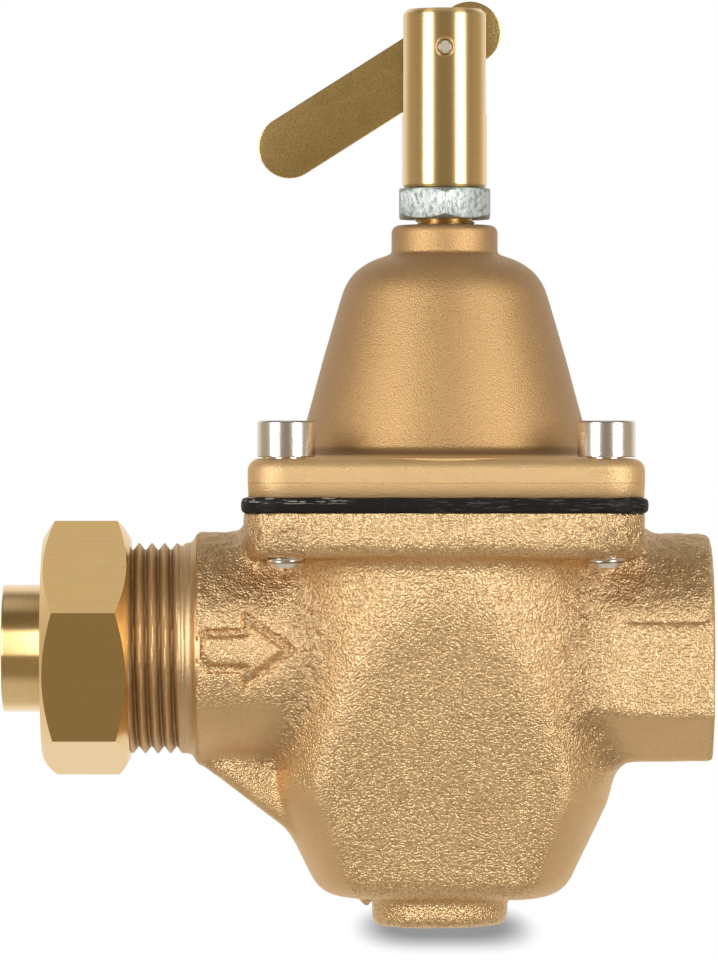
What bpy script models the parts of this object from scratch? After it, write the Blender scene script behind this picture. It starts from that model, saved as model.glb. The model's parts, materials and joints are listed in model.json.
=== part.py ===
"""A bronze pressure reducing valve for boiler feed, with a union inlet and a fast-fill lever.

Each sub-part is one object. Lengths are in metres, +Z is up and water runs towards +X. The origin
is the centre of the bottom boss's face, on the stem's axis.
"""

import math

import bmesh
import bpy
from mathutils import Matrix, Vector

MM = 0.001
GAP = 0.3 * MM
ROUND_STEPS = 32
SMALL_STEPS = 20
TINY_STEPS = 12
MERGE = 0.00001
PAST = 3.0 * MM
TO_X = (0.0, math.pi / 2, 0.0)

# Heights above the bottom boss's face
PORT_Z = 46.5 * MM
BODY_UNDERSIDE = PORT_Z - 42.7 * MM
BODY_FLANGE_BOTTOM = PORT_Z + 15.4 * MM
BODY_FLANGE_TOP = PORT_Z + 22.8 * MM
DIAPHRAGM_THICKNESS = 2.2 * MM
DIAPHRAGM_BOTTOM = BODY_FLANGE_TOP + GAP
DIAPHRAGM_TOP = DIAPHRAGM_BOTTOM + DIAPHRAGM_THICKNESS
BONNET_BOTTOM = DIAPHRAGM_TOP + GAP
BONNET_FLANGE_TOP = PORT_Z + 32.0 * MM
BONNET_NECK_TOP = PORT_Z + 70.9 * MM
LOCK_NUT_BOTTOM = BONNET_NECK_TOP + 1.0 * MM
LOCK_NUT_TOP = LOCK_NUT_BOTTOM + 4.9 * MM
HEAD_BOTTOM = LOCK_NUT_TOP + GAP
HEAD_TOP = HEAD_BOTTOM + 30.0 * MM
PIVOT_Z = HEAD_TOP - 6.6 * MM
SLOT_FLOOR = HEAD_TOP - 17.7 * MM

# Flanges and their screws: quarter-inch socket head cap screws
BODY_FLANGE_WIDTH = 66.0 * MM
BONNET_FLANGE_WIDTH = 65.4 * MM
DIAPHRAGM_WIDTH = 66.9 * MM
FLANGE_CORNER = 6.8 * MM
FACET_DEPTH = 26.4
FACET_SLOPE = 0.28
SCREW_PLACE = 26.3 * MM
SCREW_RADIUS = 3.175 * MM
SCREW_HEAD_RADIUS = 4.765 * MM
SCREW_HEAD_HEIGHT = 6.0 * MM
SCREW_SOCKET_AF = 4.76 * MM
SCREW_TIP = BODY_FLANGE_BOTTOM - 1.6 * MM

# Ports
BOSS_RADIUS = 11.4 * MM
NECK_RADIUS = 19.4 * MM
NECK_END_X = -41.4 * MM
THREAD_RADIUS = 17.3 * MM
THREAD_END_X = -59.2 * MM
THREAD_SHOULDER_X = -43.6 * MM
INLET_BORE_RADIUS = 8.0 * MM
INLET_BORE_END_X = -24.0 * MM
OUTLET_RADIUS = 19.2 * MM
OUTLET_END_X = 44.6 * MM
OUTLET_FLATS_X = 29.8 * MM
OUTLET_HALF_DEPTH = 18.8 * MM
OUTLET_FLAT_TOP = 5.0 * MM
OUTLET_FLAT_BOTTOM = -11.0 * MM
OUTLET_UNDERSIDE = -18.7 * MM
OUTLET_BEVEL = 1.6 * MM
PIPE_THREAD_RADIUS = 9.9 * MM
PIPE_THREAD_LENGTH = 15.0 * MM
OUTLET_BORE_RADIUS = 7.0 * MM

# The sloping passage from the inlet down to the strainer chamber, in the XZ plane
PASSAGE_SLOPE = math.atan2(3.0, 4.0)
PASSAGE_POINT = Vector((-27.2 * MM, 0.0, PORT_Z - 13.2 * MM))
PASSAGE_RADIUS = 7.0 * MM
PASSAGE_CASTING_RADIUS = 13.0 * MM

# Chambers
CHAMBER_RADIUS = 23.5 * MM
CHAMBER_FLOOR = PORT_Z + 16.8 * MM
OUTLET_CHAMBER_RADIUS = 13.0 * MM
WEB_TOP = PORT_Z - 7.6 * MM
WEB_BOTTOM = PORT_Z - 13.6 * MM
WEB_HOLE_RADIUS = 9.6 * MM
STRAINER_CHAMBER_RADIUS = 14.5 * MM
STRAINER_CHAMBER_FLOOR = PORT_Z - 37.0 * MM

# Bonnet
BONNET_NECK_RADIUS = 8.9 * MM
BONNET_SHOULDER_RADIUS = 8.7 * MM
BONNET_WALL = 3.2 * MM
SPRING_CHAMBER_TOP = PORT_Z + 60.5 * MM

# Adjusting screw, lever and push rod
SHANK_RADIUS = 5.1 * MM
SHANK_BOTTOM = PORT_Z + 56.1 * MM
HEAD_RADIUS = 7.15 * MM
ROD_RADIUS = 1.75 * MM
ROD_HOLE_RADIUS = ROD_RADIUS + 0.35 * MM
ROD_TOP = PORT_Z + 92.9 * MM
LEVER_THICKNESS = 3.0 * MM
LEVER_HALF_WIDTH = 5.2 * MM
LEVER_SHORT_END = 5.0 * MM
LEVER_LONG_END = 30.8 * MM
LEVER_DROOP = math.radians(32.4)
PIN_RADIUS = 1.2 * MM
PIN_LENGTH = 13.2 * MM
LOCK_NUT_AF = 15.2 * MM

# Stem, diaphragm plates and seat, from the top down
STEM_RADIUS = 2.0 * MM
STEM_HOLE_RADIUS = STEM_RADIUS + GAP
ROD_FOOT = PORT_Z + 33.6 * MM
STEM_TOP = ROD_FOOT - GAP
STEM_BOTTOM = PORT_Z - 27.0 * MM
PLATE_BOTTOM = BONNET_BOTTOM
PLATE_TOP = PLATE_BOTTOM + 2.2 * MM
PLATE_RADIUS = 18.5 * MM
PLATE_HUB_TOP = PLATE_TOP + 1.8 * MM
WASHER_TOP = BODY_FLANGE_TOP
WASHER_BOTTOM = WASHER_TOP - 2.0 * MM
SEAT_FLANGE_TOP = PORT_Z - 3.3 * MM
SEAT_FLANGE_BOTTOM = PORT_Z - 5.8 * MM
SEAT_BOTTOM = PORT_Z - 15.6 * MM
SEAT_LIP = SEAT_BOTTOM - 0.8 * MM
SEAT_RADIUS = WEB_HOLE_RADIUS - GAP
ORIFICE_RADIUS = 4.2 * MM
DISC_TOP = SEAT_LIP - GAP
DISC_BOTTOM = DISC_TOP - 1.9 * MM
DISC_RADIUS = 5.9 * MM
HOLDER_BOTTOM = DISC_BOTTOM - GAP - 3.6 * MM
STRAINER_TOP = SEAT_BOTTOM - GAP
STRAINER_BOTTOM = STRAINER_CHAMBER_FLOOR + 2.0 * MM
STRAINER_WALL = 0.6 * MM

# Springs
RANGE_SPRING_RADIUS = 10.5 * MM
RANGE_SPRING_WIRE = 1.9 * MM
SPRING_HUB_RADIUS = RANGE_SPRING_RADIUS - RANGE_SPRING_WIRE - 0.4 * MM
BUTTON_BOTTOM = PORT_Z + 52.0 * MM
BUTTON_RIM_TOP = BUTTON_BOTTOM + 1.8 * MM
BUTTON_TOP = SHANK_BOTTOM - GAP
POPPET_SPRING_RADIUS = 5.0 * MM
POPPET_SPRING_WIRE = 0.5 * MM

# Union
UNION_NUT_AF = 38.1 * MM
UNION_NUT_LEFT_X = -67.7 * MM
UNION_NUT_RIGHT_X = -52.6 * MM
UNION_NUT_WALL = 2.8 * MM
UNION_NUT_TURN = math.radians(13.5)
TAIL_RADIUS = 10.65 * MM
TAIL_END_X = -74.3 * MM
TAIL_CUP_RADIUS = 7.95 * MM
TAIL_CUP_DEPTH = 12.0 * MM
TAIL_BORE_RADIUS = 6.8 * MM
TAIL_FLANGE_RADIUS = 15.6 * MM
GASKET_THICKNESS = 1.6 * MM


def clear_scene():
    for item in list(bpy.data.objects):
        bpy.data.objects.remove(item, do_unlink=True)


def new_collection(name):
    collection = bpy.data.collections.new(name)
    bpy.context.scene.collection.children.link(collection)
    return collection


def metal(name, color, roughness, metallic=1.0):
    """A Principled material of one colour."""
    material = bpy.data.materials.new(name)
    material.use_nodes = True
    shader = material.node_tree.nodes["Principled BSDF"]
    shader.inputs["Base Color"].default_value = (*color, 1.0)
    shader.inputs["Roughness"].default_value = roughness
    shader.inputs["Metallic"].default_value = metallic
    material.diffuse_color = (*color, 1.0)
    return material


def as_object(name, mesh, collection):
    item = bpy.data.objects.new(name, mesh)
    collection.objects.link(item)
    if collection is CUTTERS:
        item.hide_render = True
        item.display_type = "WIRE"
    return item


def from_bmesh(name, builder, collection):
    """An object from a bmesh, shaded smooth between its sharp edges."""
    mesh = bpy.data.meshes.new(name)
    builder.to_mesh(mesh)
    builder.free()
    mesh.shade_smooth()
    mesh.set_sharp_from_angle(angle=math.radians(35))
    return as_object(name, mesh, collection)


def rounded(corners, steps=4):
    """An outline through (across, along, radius) corners, with an arc at each corner that has a radius."""
    points = []
    for i, (across, along, radius) in enumerate(corners):
        corner = Vector((across, along))
        if not radius:
            points.append(corner)
            continue
        before = (Vector(corners[i - 1][:2]) - corner).normalized()
        after = (Vector(corners[(i + 1) % len(corners)][:2]) - corner).normalized()
        half = before.angle(after) / 2
        middle = corner + (before + after).normalized() * (radius / math.sin(half))
        start = corner + before * (radius / math.tan(half)) - middle
        sweep = start.angle_signed(corner + after * (radius / math.tan(half)) - middle)
        for k in range(steps + 1):
            points.append(middle + Matrix.Rotation(-sweep * k / steps, 2) @ start)
    return points


def turned(name, outline, collection, steps=ROUND_STEPS, ring=False, along_x=False):
    """A turned shape from (radius, height) points that run down its outer side. A ring's outline
    closes on itself. Along X, the heights are X positions on the ports' axis."""
    mesh = bpy.data.meshes.new(name)
    points = [(point[0], 0.0, point[1]) for point in outline]
    edges = [(i, i + 1) for i in range(len(points) - 1)]
    if ring:
        edges.append((len(points) - 1, 0))
    mesh.from_pydata(points, edges, [])
    item = as_object(name, mesh, collection)
    if along_x:
        item.location = (0.0, 0.0, PORT_Z)
        item.rotation_euler = TO_X
    screw = item.modifiers.new("Turn", "SCREW")
    screw.steps = steps
    screw.render_steps = steps
    screw.use_merge_vertices = True
    screw.merge_threshold = MERGE
    screw.use_smooth_shade = True
    return item


def plate(name, width, low, high, collection, edge=0.0, edge_at_top=False):
    """A square plate with rounded corners, and one long edge rounded all the way round."""
    builder = bmesh.new()
    size = Matrix.Diagonal((width, width, high - low, 1.0))
    place = Matrix.Translation((0.0, 0.0, (low + high) / 2))
    bmesh.ops.create_cube(builder, size=1.0, matrix=place @ size)
    uprights = [e for e in builder.edges if abs(e.verts[0].co.z - e.verts[1].co.z) > MERGE]
    bmesh.ops.bevel(builder, geom=uprights, offset=FLANGE_CORNER, segments=6, affect="EDGES", profile=0.5)
    if edge:
        level = high if edge_at_top else low
        rim = [e for e in builder.edges if all(abs(v.co.z - level) < MERGE for v in e.verts)]
        bmesh.ops.bevel(builder, geom=rim, offset=edge, segments=3, affect="EDGES", profile=0.5)
    return from_bmesh(name, builder, collection)


def add_cylinder(builder, radius, length, place, steps):
    bmesh.ops.create_cone(
        builder, cap_ends=True, segments=steps, radius1=radius, radius2=radius, depth=length, matrix=place
    )


def rod(name, start, end, radius, collection, steps=TINY_STEPS):
    """A cylinder between two points."""
    builder = bmesh.new()
    span = end - start
    place = Matrix.Translation((start + end) / 2) @ span.to_track_quat("Z", "Y").to_matrix().to_4x4()
    add_cylinder(builder, radius, span.length, place, steps)
    return from_bmesh(name, builder, collection)


def screw_holes(name, low, high):
    """A cutter for the four screw holes through a flange between two heights."""
    builder = bmesh.new()
    length = high - low + 2 * PAST
    for x, y in screw_places():
        place = Matrix.Translation((x, y, (low + high) / 2))
        add_cylinder(builder, SCREW_RADIUS + GAP, length, place, TINY_STEPS)
    return from_bmesh(name, builder, CUTTERS)


def box(name, size, center, collection):
    builder = bmesh.new()
    place = Matrix.Translation(center) @ Matrix.Diagonal((*size, 1.0))
    bmesh.ops.create_cube(builder, size=1.0, matrix=place)
    return from_bmesh(name, builder, collection)


def hexagon(name, across_flats, low, high, collection, turn=0.0):
    """A six-sided bar standing on Z, with a corner towards -Y when turn is 0."""
    builder = bmesh.new()
    radius = across_flats / math.sqrt(3)
    place = Matrix.Translation((0.0, 0.0, (low + high) / 2)) @ Matrix.Rotation(turn, 4, "Z")
    add_cylinder(builder, radius, high - low, place, 6)
    return from_bmesh(name, builder, collection)


def loft(name, rings, collection):
    """A closed skin over rings of equally many points, with a flat cap at each end."""
    builder = bmesh.new()
    layers = [[builder.verts.new(point) for point in ring] for ring in rings]
    for low, high in zip(layers, layers[1:]):
        for i, vertex in enumerate(low):
            following = (i + 1) % len(low)
            builder.faces.new((vertex, low[following], high[following], high[i]))
    builder.faces.new(layers[0])
    builder.faces.new(layers[-1])
    bmesh.ops.recalc_face_normals(builder, faces=builder.faces)
    return from_bmesh(name, builder, collection)


def combine(item, other, operation):
    modifier = item.modifiers.new(f"{operation.title()} {other.name}", "BOOLEAN")
    modifier.operation = operation
    modifier.solver = "EXACT"
    modifier.object = other


def join(item, other):
    combine(item, other, "UNION")


def cut(item, other):
    combine(item, other, "DIFFERENCE")


def screw_places():
    return [(x * SCREW_PLACE, y * SCREW_PLACE) for x in (-1, 1) for y in (-1, 1)]


def cup_ring(height, radius):
    """One level of the body's cup: a circle cut off by the sloping facet at its front and back."""
    facet_depth = FACET_DEPTH + FACET_SLOPE * height
    steps = 5
    start = math.radians(6.0)
    end = min(math.asin(min(1.0, facet_depth / radius)), math.radians(80.0))
    corner = []
    for k in range(steps + 1):
        angle = start + (end - start) * k / steps
        corner.append((radius * math.cos(angle) * MM, radius * math.sin(angle) * MM))
    back = corner + [(-x, y) for x, y in reversed(corner)]
    whole = back + [(-x, -y) for x, y in back]
    return [Vector((x, y, PORT_Z + height * MM)) for x, y in whole]


def body_cup():
    """The round barrel under the flange, which narrows to a flat bottom round the strainer chamber."""
    levels = (
        (16.5, 28.7), (7.0, 28.7), (-7.0, 28.7), (-20.0, 28.7), (-25.0, 27.9),
        (-31.0, 25.2), (-38.5, 21.6), (-40.6, 19.6), (-41.7, 16.5),
    )
    return loft("cup_form", [cup_ring(*level) for level in levels], CUTTERS)


def outlet_ring(x, inset):
    """The outlet end: round on top, flat on the sides, with a sloping face below each side."""
    steps = 10
    top_radius = OUTLET_RADIUS - inset
    half_depth = OUTLET_HALF_DEPTH - inset
    start = math.asin(OUTLET_FLAT_TOP / OUTLET_RADIUS)
    points = []
    for k in range(steps + 1):
        angle = start + (math.pi - 2 * start) * k / steps
        points.append((top_radius * math.cos(angle), top_radius * math.sin(angle)))
    slope = OUTLET_FLAT_BOTTOM - OUTLET_UNDERSIDE
    low = OUTLET_UNDERSIDE + inset
    points += [(-half_depth, OUTLET_FLAT_BOTTOM), (slope - half_depth, low)]
    points += [(half_depth - slope, low), (half_depth, OUTLET_FLAT_BOTTOM)]
    return [Vector((x, y, PORT_Z + z)) for y, z in points]


def passage_rod(name, before, after, radius):
    """A cylinder on the sloping passage's axis, from a length before its point to one after it."""
    direction = Vector((math.cos(PASSAGE_SLOPE), 0.0, -math.sin(PASSAGE_SLOPE)))
    start = PASSAGE_POINT - direction * before
    end = PASSAGE_POINT + direction * after
    return rod(name, start, end, radius, CUTTERS, SMALL_STEPS)


def build_valve_body():
    body = plate("valve_body", BODY_FLANGE_WIDTH, BODY_FLANGE_BOTTOM, BODY_FLANGE_TOP, PARTS, edge=1.5 * MM)
    inlet = turned(
        "inlet_form",
        [
            (0.0, 5.0 * MM), (NECK_RADIUS, 5.0 * MM), (NECK_RADIUS, NECK_END_X),
            (THREAD_RADIUS, THREAD_SHOULDER_X), (THREAD_RADIUS, THREAD_END_X + 1.0 * MM),
            (THREAD_RADIUS - 1.0 * MM, THREAD_END_X), (0.0, THREAD_END_X),
        ],
        CUTTERS, along_x=True,
    )
    outlet = turned(
        "outlet_form",
        [
            (0.0, OUTLET_FLATS_X + 2.0 * MM), (OUTLET_RADIUS - 0.5 * MM, OUTLET_FLATS_X + 2.0 * MM),
            (OUTLET_RADIUS - 0.5 * MM, -4.0 * MM), (0.0, -4.0 * MM),
        ],
        CUTTERS, along_x=True,
    )
    outlet_end = loft(
        "outlet_end_form",
        [
            outlet_ring(OUTLET_FLATS_X, 0.0),
            outlet_ring(OUTLET_END_X - OUTLET_BEVEL, 0.0),
            outlet_ring(OUTLET_END_X - 0.4 * OUTLET_BEVEL, 0.4 * OUTLET_BEVEL),
            outlet_ring(OUTLET_END_X, OUTLET_BEVEL),
        ],
        CUTTERS,
    )
    boss = turned(
        "bottom_boss_form",
        rounded([
            (0.0, BODY_UNDERSIDE + 2.2 * MM, 0), (BOSS_RADIUS, BODY_UNDERSIDE + 2.2 * MM, 0),
            (BOSS_RADIUS, 0.0, 1.0 * MM), (0.0, 0.0, 0),
        ], steps=3),
        CUTTERS,
    )
    gusset = passage_rod("gusset_form", 8.5 * MM, 19.0 * MM, PASSAGE_CASTING_RADIUS)
    for form in (body_cup(), inlet, outlet, outlet_end, gusset, boss):
        join(body, form)
    chambers = turned(
        "chambers_cutter",
        [
            (0.0, BODY_FLANGE_TOP + PAST), (CHAMBER_RADIUS, BODY_FLANGE_TOP + PAST),
            (CHAMBER_RADIUS, CHAMBER_FLOOR), (OUTLET_CHAMBER_RADIUS, CHAMBER_FLOOR),
            (OUTLET_CHAMBER_RADIUS, WEB_TOP), (WEB_HOLE_RADIUS, WEB_TOP), (WEB_HOLE_RADIUS, WEB_BOTTOM),
            (STRAINER_CHAMBER_RADIUS, WEB_BOTTOM), (STRAINER_CHAMBER_RADIUS, STRAINER_CHAMBER_FLOOR),
            (0.0, STRAINER_CHAMBER_FLOOR),
        ],
        CUTTERS,
    )
    inlet_bore = turned(
        "inlet_bore_cutter",
        [
            (0.0, INLET_BORE_END_X), (INLET_BORE_RADIUS, INLET_BORE_END_X),
            (INLET_BORE_RADIUS, THREAD_END_X - PAST), (0.0, THREAD_END_X - PAST),
        ],
        CUTTERS, steps=SMALL_STEPS, along_x=True,
    )
    thread_floor = OUTLET_END_X - PIPE_THREAD_LENGTH
    outlet_bore = turned(
        "outlet_bore_cutter",
        [
            (0.0, OUTLET_END_X + PAST), (PIPE_THREAD_RADIUS + 1.0 * MM + PAST, OUTLET_END_X + PAST),
            (PIPE_THREAD_RADIUS, OUTLET_END_X - 1.0 * MM),
            (PIPE_THREAD_RADIUS - PIPE_THREAD_LENGTH / 32, thread_floor), (OUTLET_BORE_RADIUS, thread_floor),
            (OUTLET_BORE_RADIUS, 8.0 * MM), (0.0, 8.0 * MM),
        ],
        CUTTERS, along_x=True,
    )
    holes = screw_holes("body_screw_holes_cutter", BODY_FLANGE_BOTTOM, BODY_FLANGE_TOP)
    passage = passage_rod("passage_cutter", 7.0 * MM, 22.0 * MM, PASSAGE_RADIUS)
    for cutter in (chambers, inlet_bore, passage, outlet_bore, holes):
        cut(body, cutter)
    return body


def build_bonnet():
    width = BONNET_FLANGE_WIDTH
    bonnet = plate("bonnet", width, BONNET_BOTTOM, BONNET_FLANGE_TOP, PARTS, edge=1.6 * MM, edge_at_top=True)
    base_radius = 25.7 * MM
    base = BONNET_FLANGE_TOP - 2.0 * MM
    shoulder = Vector((15.83 * MM, PORT_Z + 63.4 * MM))
    cone = turned(
        "bonnet_cone_form",
        rounded([
            (0.0, BONNET_NECK_TOP, 0), (BONNET_NECK_RADIUS, BONNET_NECK_TOP, 1.2 * MM),
            (BONNET_NECK_RADIUS, PORT_Z + 65.95 * MM, 0), (*shoulder, BONNET_SHOULDER_RADIUS),
            (base_radius, base, 0), (0.0, base, 0),
        ], steps=5),
        CUTTERS,
    )
    inside = turned(
        "spring_chamber_cutter",
        [
            (0.0, BONNET_NECK_TOP + PAST), (SHANK_RADIUS + GAP, BONNET_NECK_TOP + PAST),
            (SHANK_RADIUS + GAP, SPRING_CHAMBER_TOP), (12.0 * MM, SPRING_CHAMBER_TOP),
            (14.2 * MM, SPRING_CHAMBER_TOP - 3.0 * MM), (base_radius - BONNET_WALL - 0.8 * MM, base),
            (base_radius - BONNET_WALL, BONNET_BOTTOM - PAST), (0.0, BONNET_BOTTOM - PAST),
        ],
        CUTTERS,
    )
    holes = screw_holes("bonnet_screw_holes_cutter", BONNET_BOTTOM, BONNET_FLANGE_TOP)
    join(bonnet, cone)
    cut(bonnet, inside)
    cut(bonnet, holes)
    return bonnet


def build_diaphragm():
    diaphragm = plate("diaphragm", DIAPHRAGM_WIDTH, DIAPHRAGM_BOTTOM, DIAPHRAGM_TOP, PARTS)
    cut(diaphragm, screw_holes("diaphragm_screw_holes_cutter", DIAPHRAGM_BOTTOM, DIAPHRAGM_TOP))
    start = Vector((0.0, 0.0, DIAPHRAGM_BOTTOM - PAST))
    end = Vector((0.0, 0.0, DIAPHRAGM_TOP + PAST))
    cut(diaphragm, rod("diaphragm_stem_hole_cutter", start, end, STEM_HOLE_RADIUS, CUTTERS))
    return diaphragm


def build_flange_screw(number, x, y):
    head_bottom = BONNET_FLANGE_TOP + GAP
    head_top = head_bottom + SCREW_HEAD_HEIGHT
    tip_bevel = 0.6 * MM
    screw = turned(
        f"flange_screw_{number}",
        rounded([
            (0.0, head_top, 0), (SCREW_HEAD_RADIUS, head_top, 0.6 * MM), (SCREW_HEAD_RADIUS, head_bottom, 0),
            (SCREW_RADIUS, head_bottom, 0), (SCREW_RADIUS, SCREW_TIP + tip_bevel, 0),
            (SCREW_RADIUS - tip_bevel, SCREW_TIP, 0), (0.0, SCREW_TIP, 0),
        ], steps=2),
        PARTS, steps=SMALL_STEPS,
    )
    screw.location = (x, y, 0.0)
    socket_floor = head_top - 0.5 * SCREW_HEAD_HEIGHT
    socket = hexagon(f"socket_cutter_{number}", SCREW_SOCKET_AF, socket_floor, head_top + PAST, CUTTERS)
    socket.location = (x, y, 0.0)
    cut(screw, socket)
    return screw


def bevelled_nut(name, across_flats, low, high, hole_radius, turn=0.0, along_x=False):
    """A hexagon nut whose corners are turned off at 30 degrees at both ends."""
    nut = hexagon(name, across_flats, low, high, PARTS, turn)
    corner = across_flats / math.sqrt(3)
    flat = across_flats / 2
    drop = (corner - flat) * math.tan(math.radians(30))
    reach = corner + 1.0 * MM
    more = drop * (reach - flat) / (corner - flat)
    bevel = turned(
        f"{name}_bevel_cutter",
        [
            (0.0, high + MM), (flat - 1.0 * MM, high + MM), (flat * 0.97, high), (reach, high - more),
            (reach, low + more), (flat * 0.97, low), (flat - 1.0 * MM, low - MM), (0.0, low - MM),
        ],
        CUTTERS, steps=SMALL_STEPS if across_flats < LOCK_NUT_AF else ROUND_STEPS,
    )
    combine(nut, bevel, "INTERSECT")
    hole = turned(
        f"{name}_hole_cutter",
        [(0.0, high + PAST), (hole_radius, high + PAST), (hole_radius, low - PAST), (0.0, low - PAST)],
        CUTTERS, steps=SMALL_STEPS,
    )
    cut(nut, hole)
    if along_x:
        for item in (nut, bevel, hole):
            item.location = (0.0, 0.0, PORT_Z)
            item.rotation_euler = TO_X
    return nut


def build_adjusting_screw():
    """The hollow screw that loads the spring: threaded shank below, slotted lever head above."""
    screw = turned(
        "adjusting_screw",
        rounded([
            (HEAD_RADIUS, HEAD_TOP, 0.8 * MM), (HEAD_RADIUS, HEAD_BOTTOM, 0.4 * MM),
            (SHANK_RADIUS, HEAD_BOTTOM, 0), (SHANK_RADIUS, SHANK_BOTTOM + 0.6 * MM, 0),
            (SHANK_RADIUS - 0.6 * MM, SHANK_BOTTOM, 0),
            (ROD_HOLE_RADIUS, SHANK_BOTTOM, 0), (ROD_HOLE_RADIUS, HEAD_TOP, 0),
        ], steps=2),
        PARTS, steps=SMALL_STEPS, ring=True,
    )
    slot_size = (4 * HEAD_RADIUS, LEVER_THICKNESS + 2 * GAP, HEAD_TOP + PAST - SLOT_FLOOR)
    slot = box("lever_slot_cutter", slot_size, (0.0, 0.0, SLOT_FLOOR + slot_size[2] / 2), CUTTERS)
    reach = Vector((0.0, HEAD_RADIUS + PAST, 0.0))
    pivot = Vector((0.0, 0.0, PIVOT_Z))
    pin_hole = rod("pin_hole_cutter", pivot - reach, pivot + reach, PIN_RADIUS + GAP, CUTTERS)
    cut(screw, slot)
    cut(screw, pin_hole)
    return screw


def build_lever():
    """A flat bar with round ends on an off-centre pivot, so that its short end works as a cam."""
    outline = bpy.data.curves.new("fast_fill_lever_outline", "CURVE")
    outline.dimensions = "2D"
    outline.fill_mode = "BOTH"
    outline.extrude = LEVER_THICKNESS / 2
    steps = 12
    points = []
    for center, start in ((LEVER_SHORT_END, -math.pi / 2), (-LEVER_LONG_END, math.pi / 2)):
        for k in range(steps + 1):
            angle = start + math.pi * k / steps
            x = center + LEVER_HALF_WIDTH * math.cos(angle)
            points.append((x, LEVER_HALF_WIDTH * math.sin(angle)))
    spline = outline.splines.new("POLY")
    spline.points.add(len(points) - 1)
    for place, (x, y) in zip(spline.points, points):
        place.co = (x, y, 0.0, 1.0)
    spline.use_cyclic_u = True
    guide = as_object("lever_guide", outline, CUTTERS)
    bpy.context.view_layer.update()
    graph = bpy.context.evaluated_depsgraph_get()
    mesh = bpy.data.meshes.new_from_object(guide.evaluated_get(graph))
    bpy.data.objects.remove(guide, do_unlink=True)
    builder = bmesh.new()
    builder.from_mesh(mesh)
    bmesh.ops.remove_doubles(builder, verts=builder.verts, dist=MERGE)
    bmesh.ops.rotate(builder, verts=builder.verts, matrix=Matrix.Rotation(math.pi / 2, 3, "X"))
    bpy.data.meshes.remove(mesh)
    lever = from_bmesh("fast_fill_lever", builder, PARTS)
    lever.location = (0.0, 0.0, PIVOT_Z)
    lever.rotation_euler = (0.0, -LEVER_DROOP, 0.0)
    reach = Vector((0.0, LEVER_THICKNESS, 0.0))
    pivot = Vector((0.0, 0.0, PIVOT_Z))
    cut(lever, rod("lever_hole_cutter", pivot - reach, pivot + reach, PIN_RADIUS + GAP, CUTTERS))
    return lever


def build_lever_pin():
    reach = Vector((0.0, PIN_LENGTH / 2, 0.0))
    pin = rod("lever_pin", -reach, reach, PIN_RADIUS, PARTS)
    pin.location = (0.0, 0.0, PIVOT_Z)
    return pin


def build_fill_rod():
    foot_radius = 3.2 * MM
    foot_top = ROD_FOOT + 2.0 * MM
    return turned(
        "fill_push_rod",
        rounded([
            (0.0, ROD_TOP, 0), (ROD_RADIUS, ROD_TOP, 0.5 * MM), (ROD_RADIUS, foot_top, 0),
            (foot_radius, foot_top, 0), (foot_radius, ROD_FOOT, 0), (0.0, ROD_FOOT, 0),
        ], steps=2),
        PARTS, steps=TINY_STEPS,
    )


def build_spring_button():
    hub_bottom = BUTTON_BOTTOM - 2.4 * MM
    return turned(
        "spring_button",
        [
            (6.0 * MM, BUTTON_TOP), (7.0 * MM, BUTTON_RIM_TOP), (12.6 * MM, BUTTON_RIM_TOP),
            (12.6 * MM, BUTTON_BOTTOM), (SPRING_HUB_RADIUS, BUTTON_BOTTOM),
            (SPRING_HUB_RADIUS - 0.5 * MM, hub_bottom), (ROD_HOLE_RADIUS, hub_bottom),
            (ROD_HOLE_RADIUS, BUTTON_TOP),
        ],
        PARTS, steps=SMALL_STEPS, ring=True,
    )


def build_diaphragm_plate():
    rim = 1.6 * MM
    return turned(
        "diaphragm_plate",
        [
            (PLATE_RADIUS, PLATE_TOP + rim), (PLATE_RADIUS, PLATE_BOTTOM), (STEM_HOLE_RADIUS, PLATE_BOTTOM),
            (STEM_HOLE_RADIUS, PLATE_HUB_TOP), (SPRING_HUB_RADIUS, PLATE_HUB_TOP),
            (SPRING_HUB_RADIUS, PLATE_TOP),
            (PLATE_RADIUS - rim, PLATE_TOP), (PLATE_RADIUS - rim, PLATE_TOP + rim),
        ],
        PARTS, steps=SMALL_STEPS, ring=True,
    )


def washer(name, outer, inner, low, high):
    outline = [(outer, high), (outer, low), (inner, low), (inner, high)]
    return turned(name, outline, PARTS, steps=SMALL_STEPS, ring=True)


def build_valve_stem():
    shoulder_radius = 3.4 * MM
    shoulder_top = WASHER_BOTTOM - GAP
    shoulder_bottom = shoulder_top - 2.6 * MM
    return turned(
        "valve_stem",
        [
            (0.0, STEM_TOP), (STEM_RADIUS, STEM_TOP), (STEM_RADIUS, shoulder_top),
            (shoulder_radius, shoulder_top), (shoulder_radius, shoulder_bottom),
            (STEM_RADIUS, shoulder_bottom - 1.0 * MM),
            (STEM_RADIUS, STEM_BOTTOM), (0.0, STEM_BOTTOM),
        ],
        PARTS, steps=TINY_STEPS,
    )


def build_seat_ring():
    flange_radius = OUTLET_CHAMBER_RADIUS - 0.4 * MM
    lip_radius = ORIFICE_RADIUS + 1.0 * MM
    return turned(
        "seat_ring",
        [
            (flange_radius, SEAT_FLANGE_TOP), (flange_radius, SEAT_FLANGE_BOTTOM),
            (SEAT_RADIUS, SEAT_FLANGE_BOTTOM), (SEAT_RADIUS, SEAT_BOTTOM),
            (lip_radius, SEAT_BOTTOM), (lip_radius, SEAT_LIP),
            (ORIFICE_RADIUS, SEAT_LIP), (ORIFICE_RADIUS, SEAT_FLANGE_BOTTOM),
            (ORIFICE_RADIUS + 2.3 * MM, SEAT_FLANGE_TOP),
        ],
        PARTS, ring=True,
    )


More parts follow.
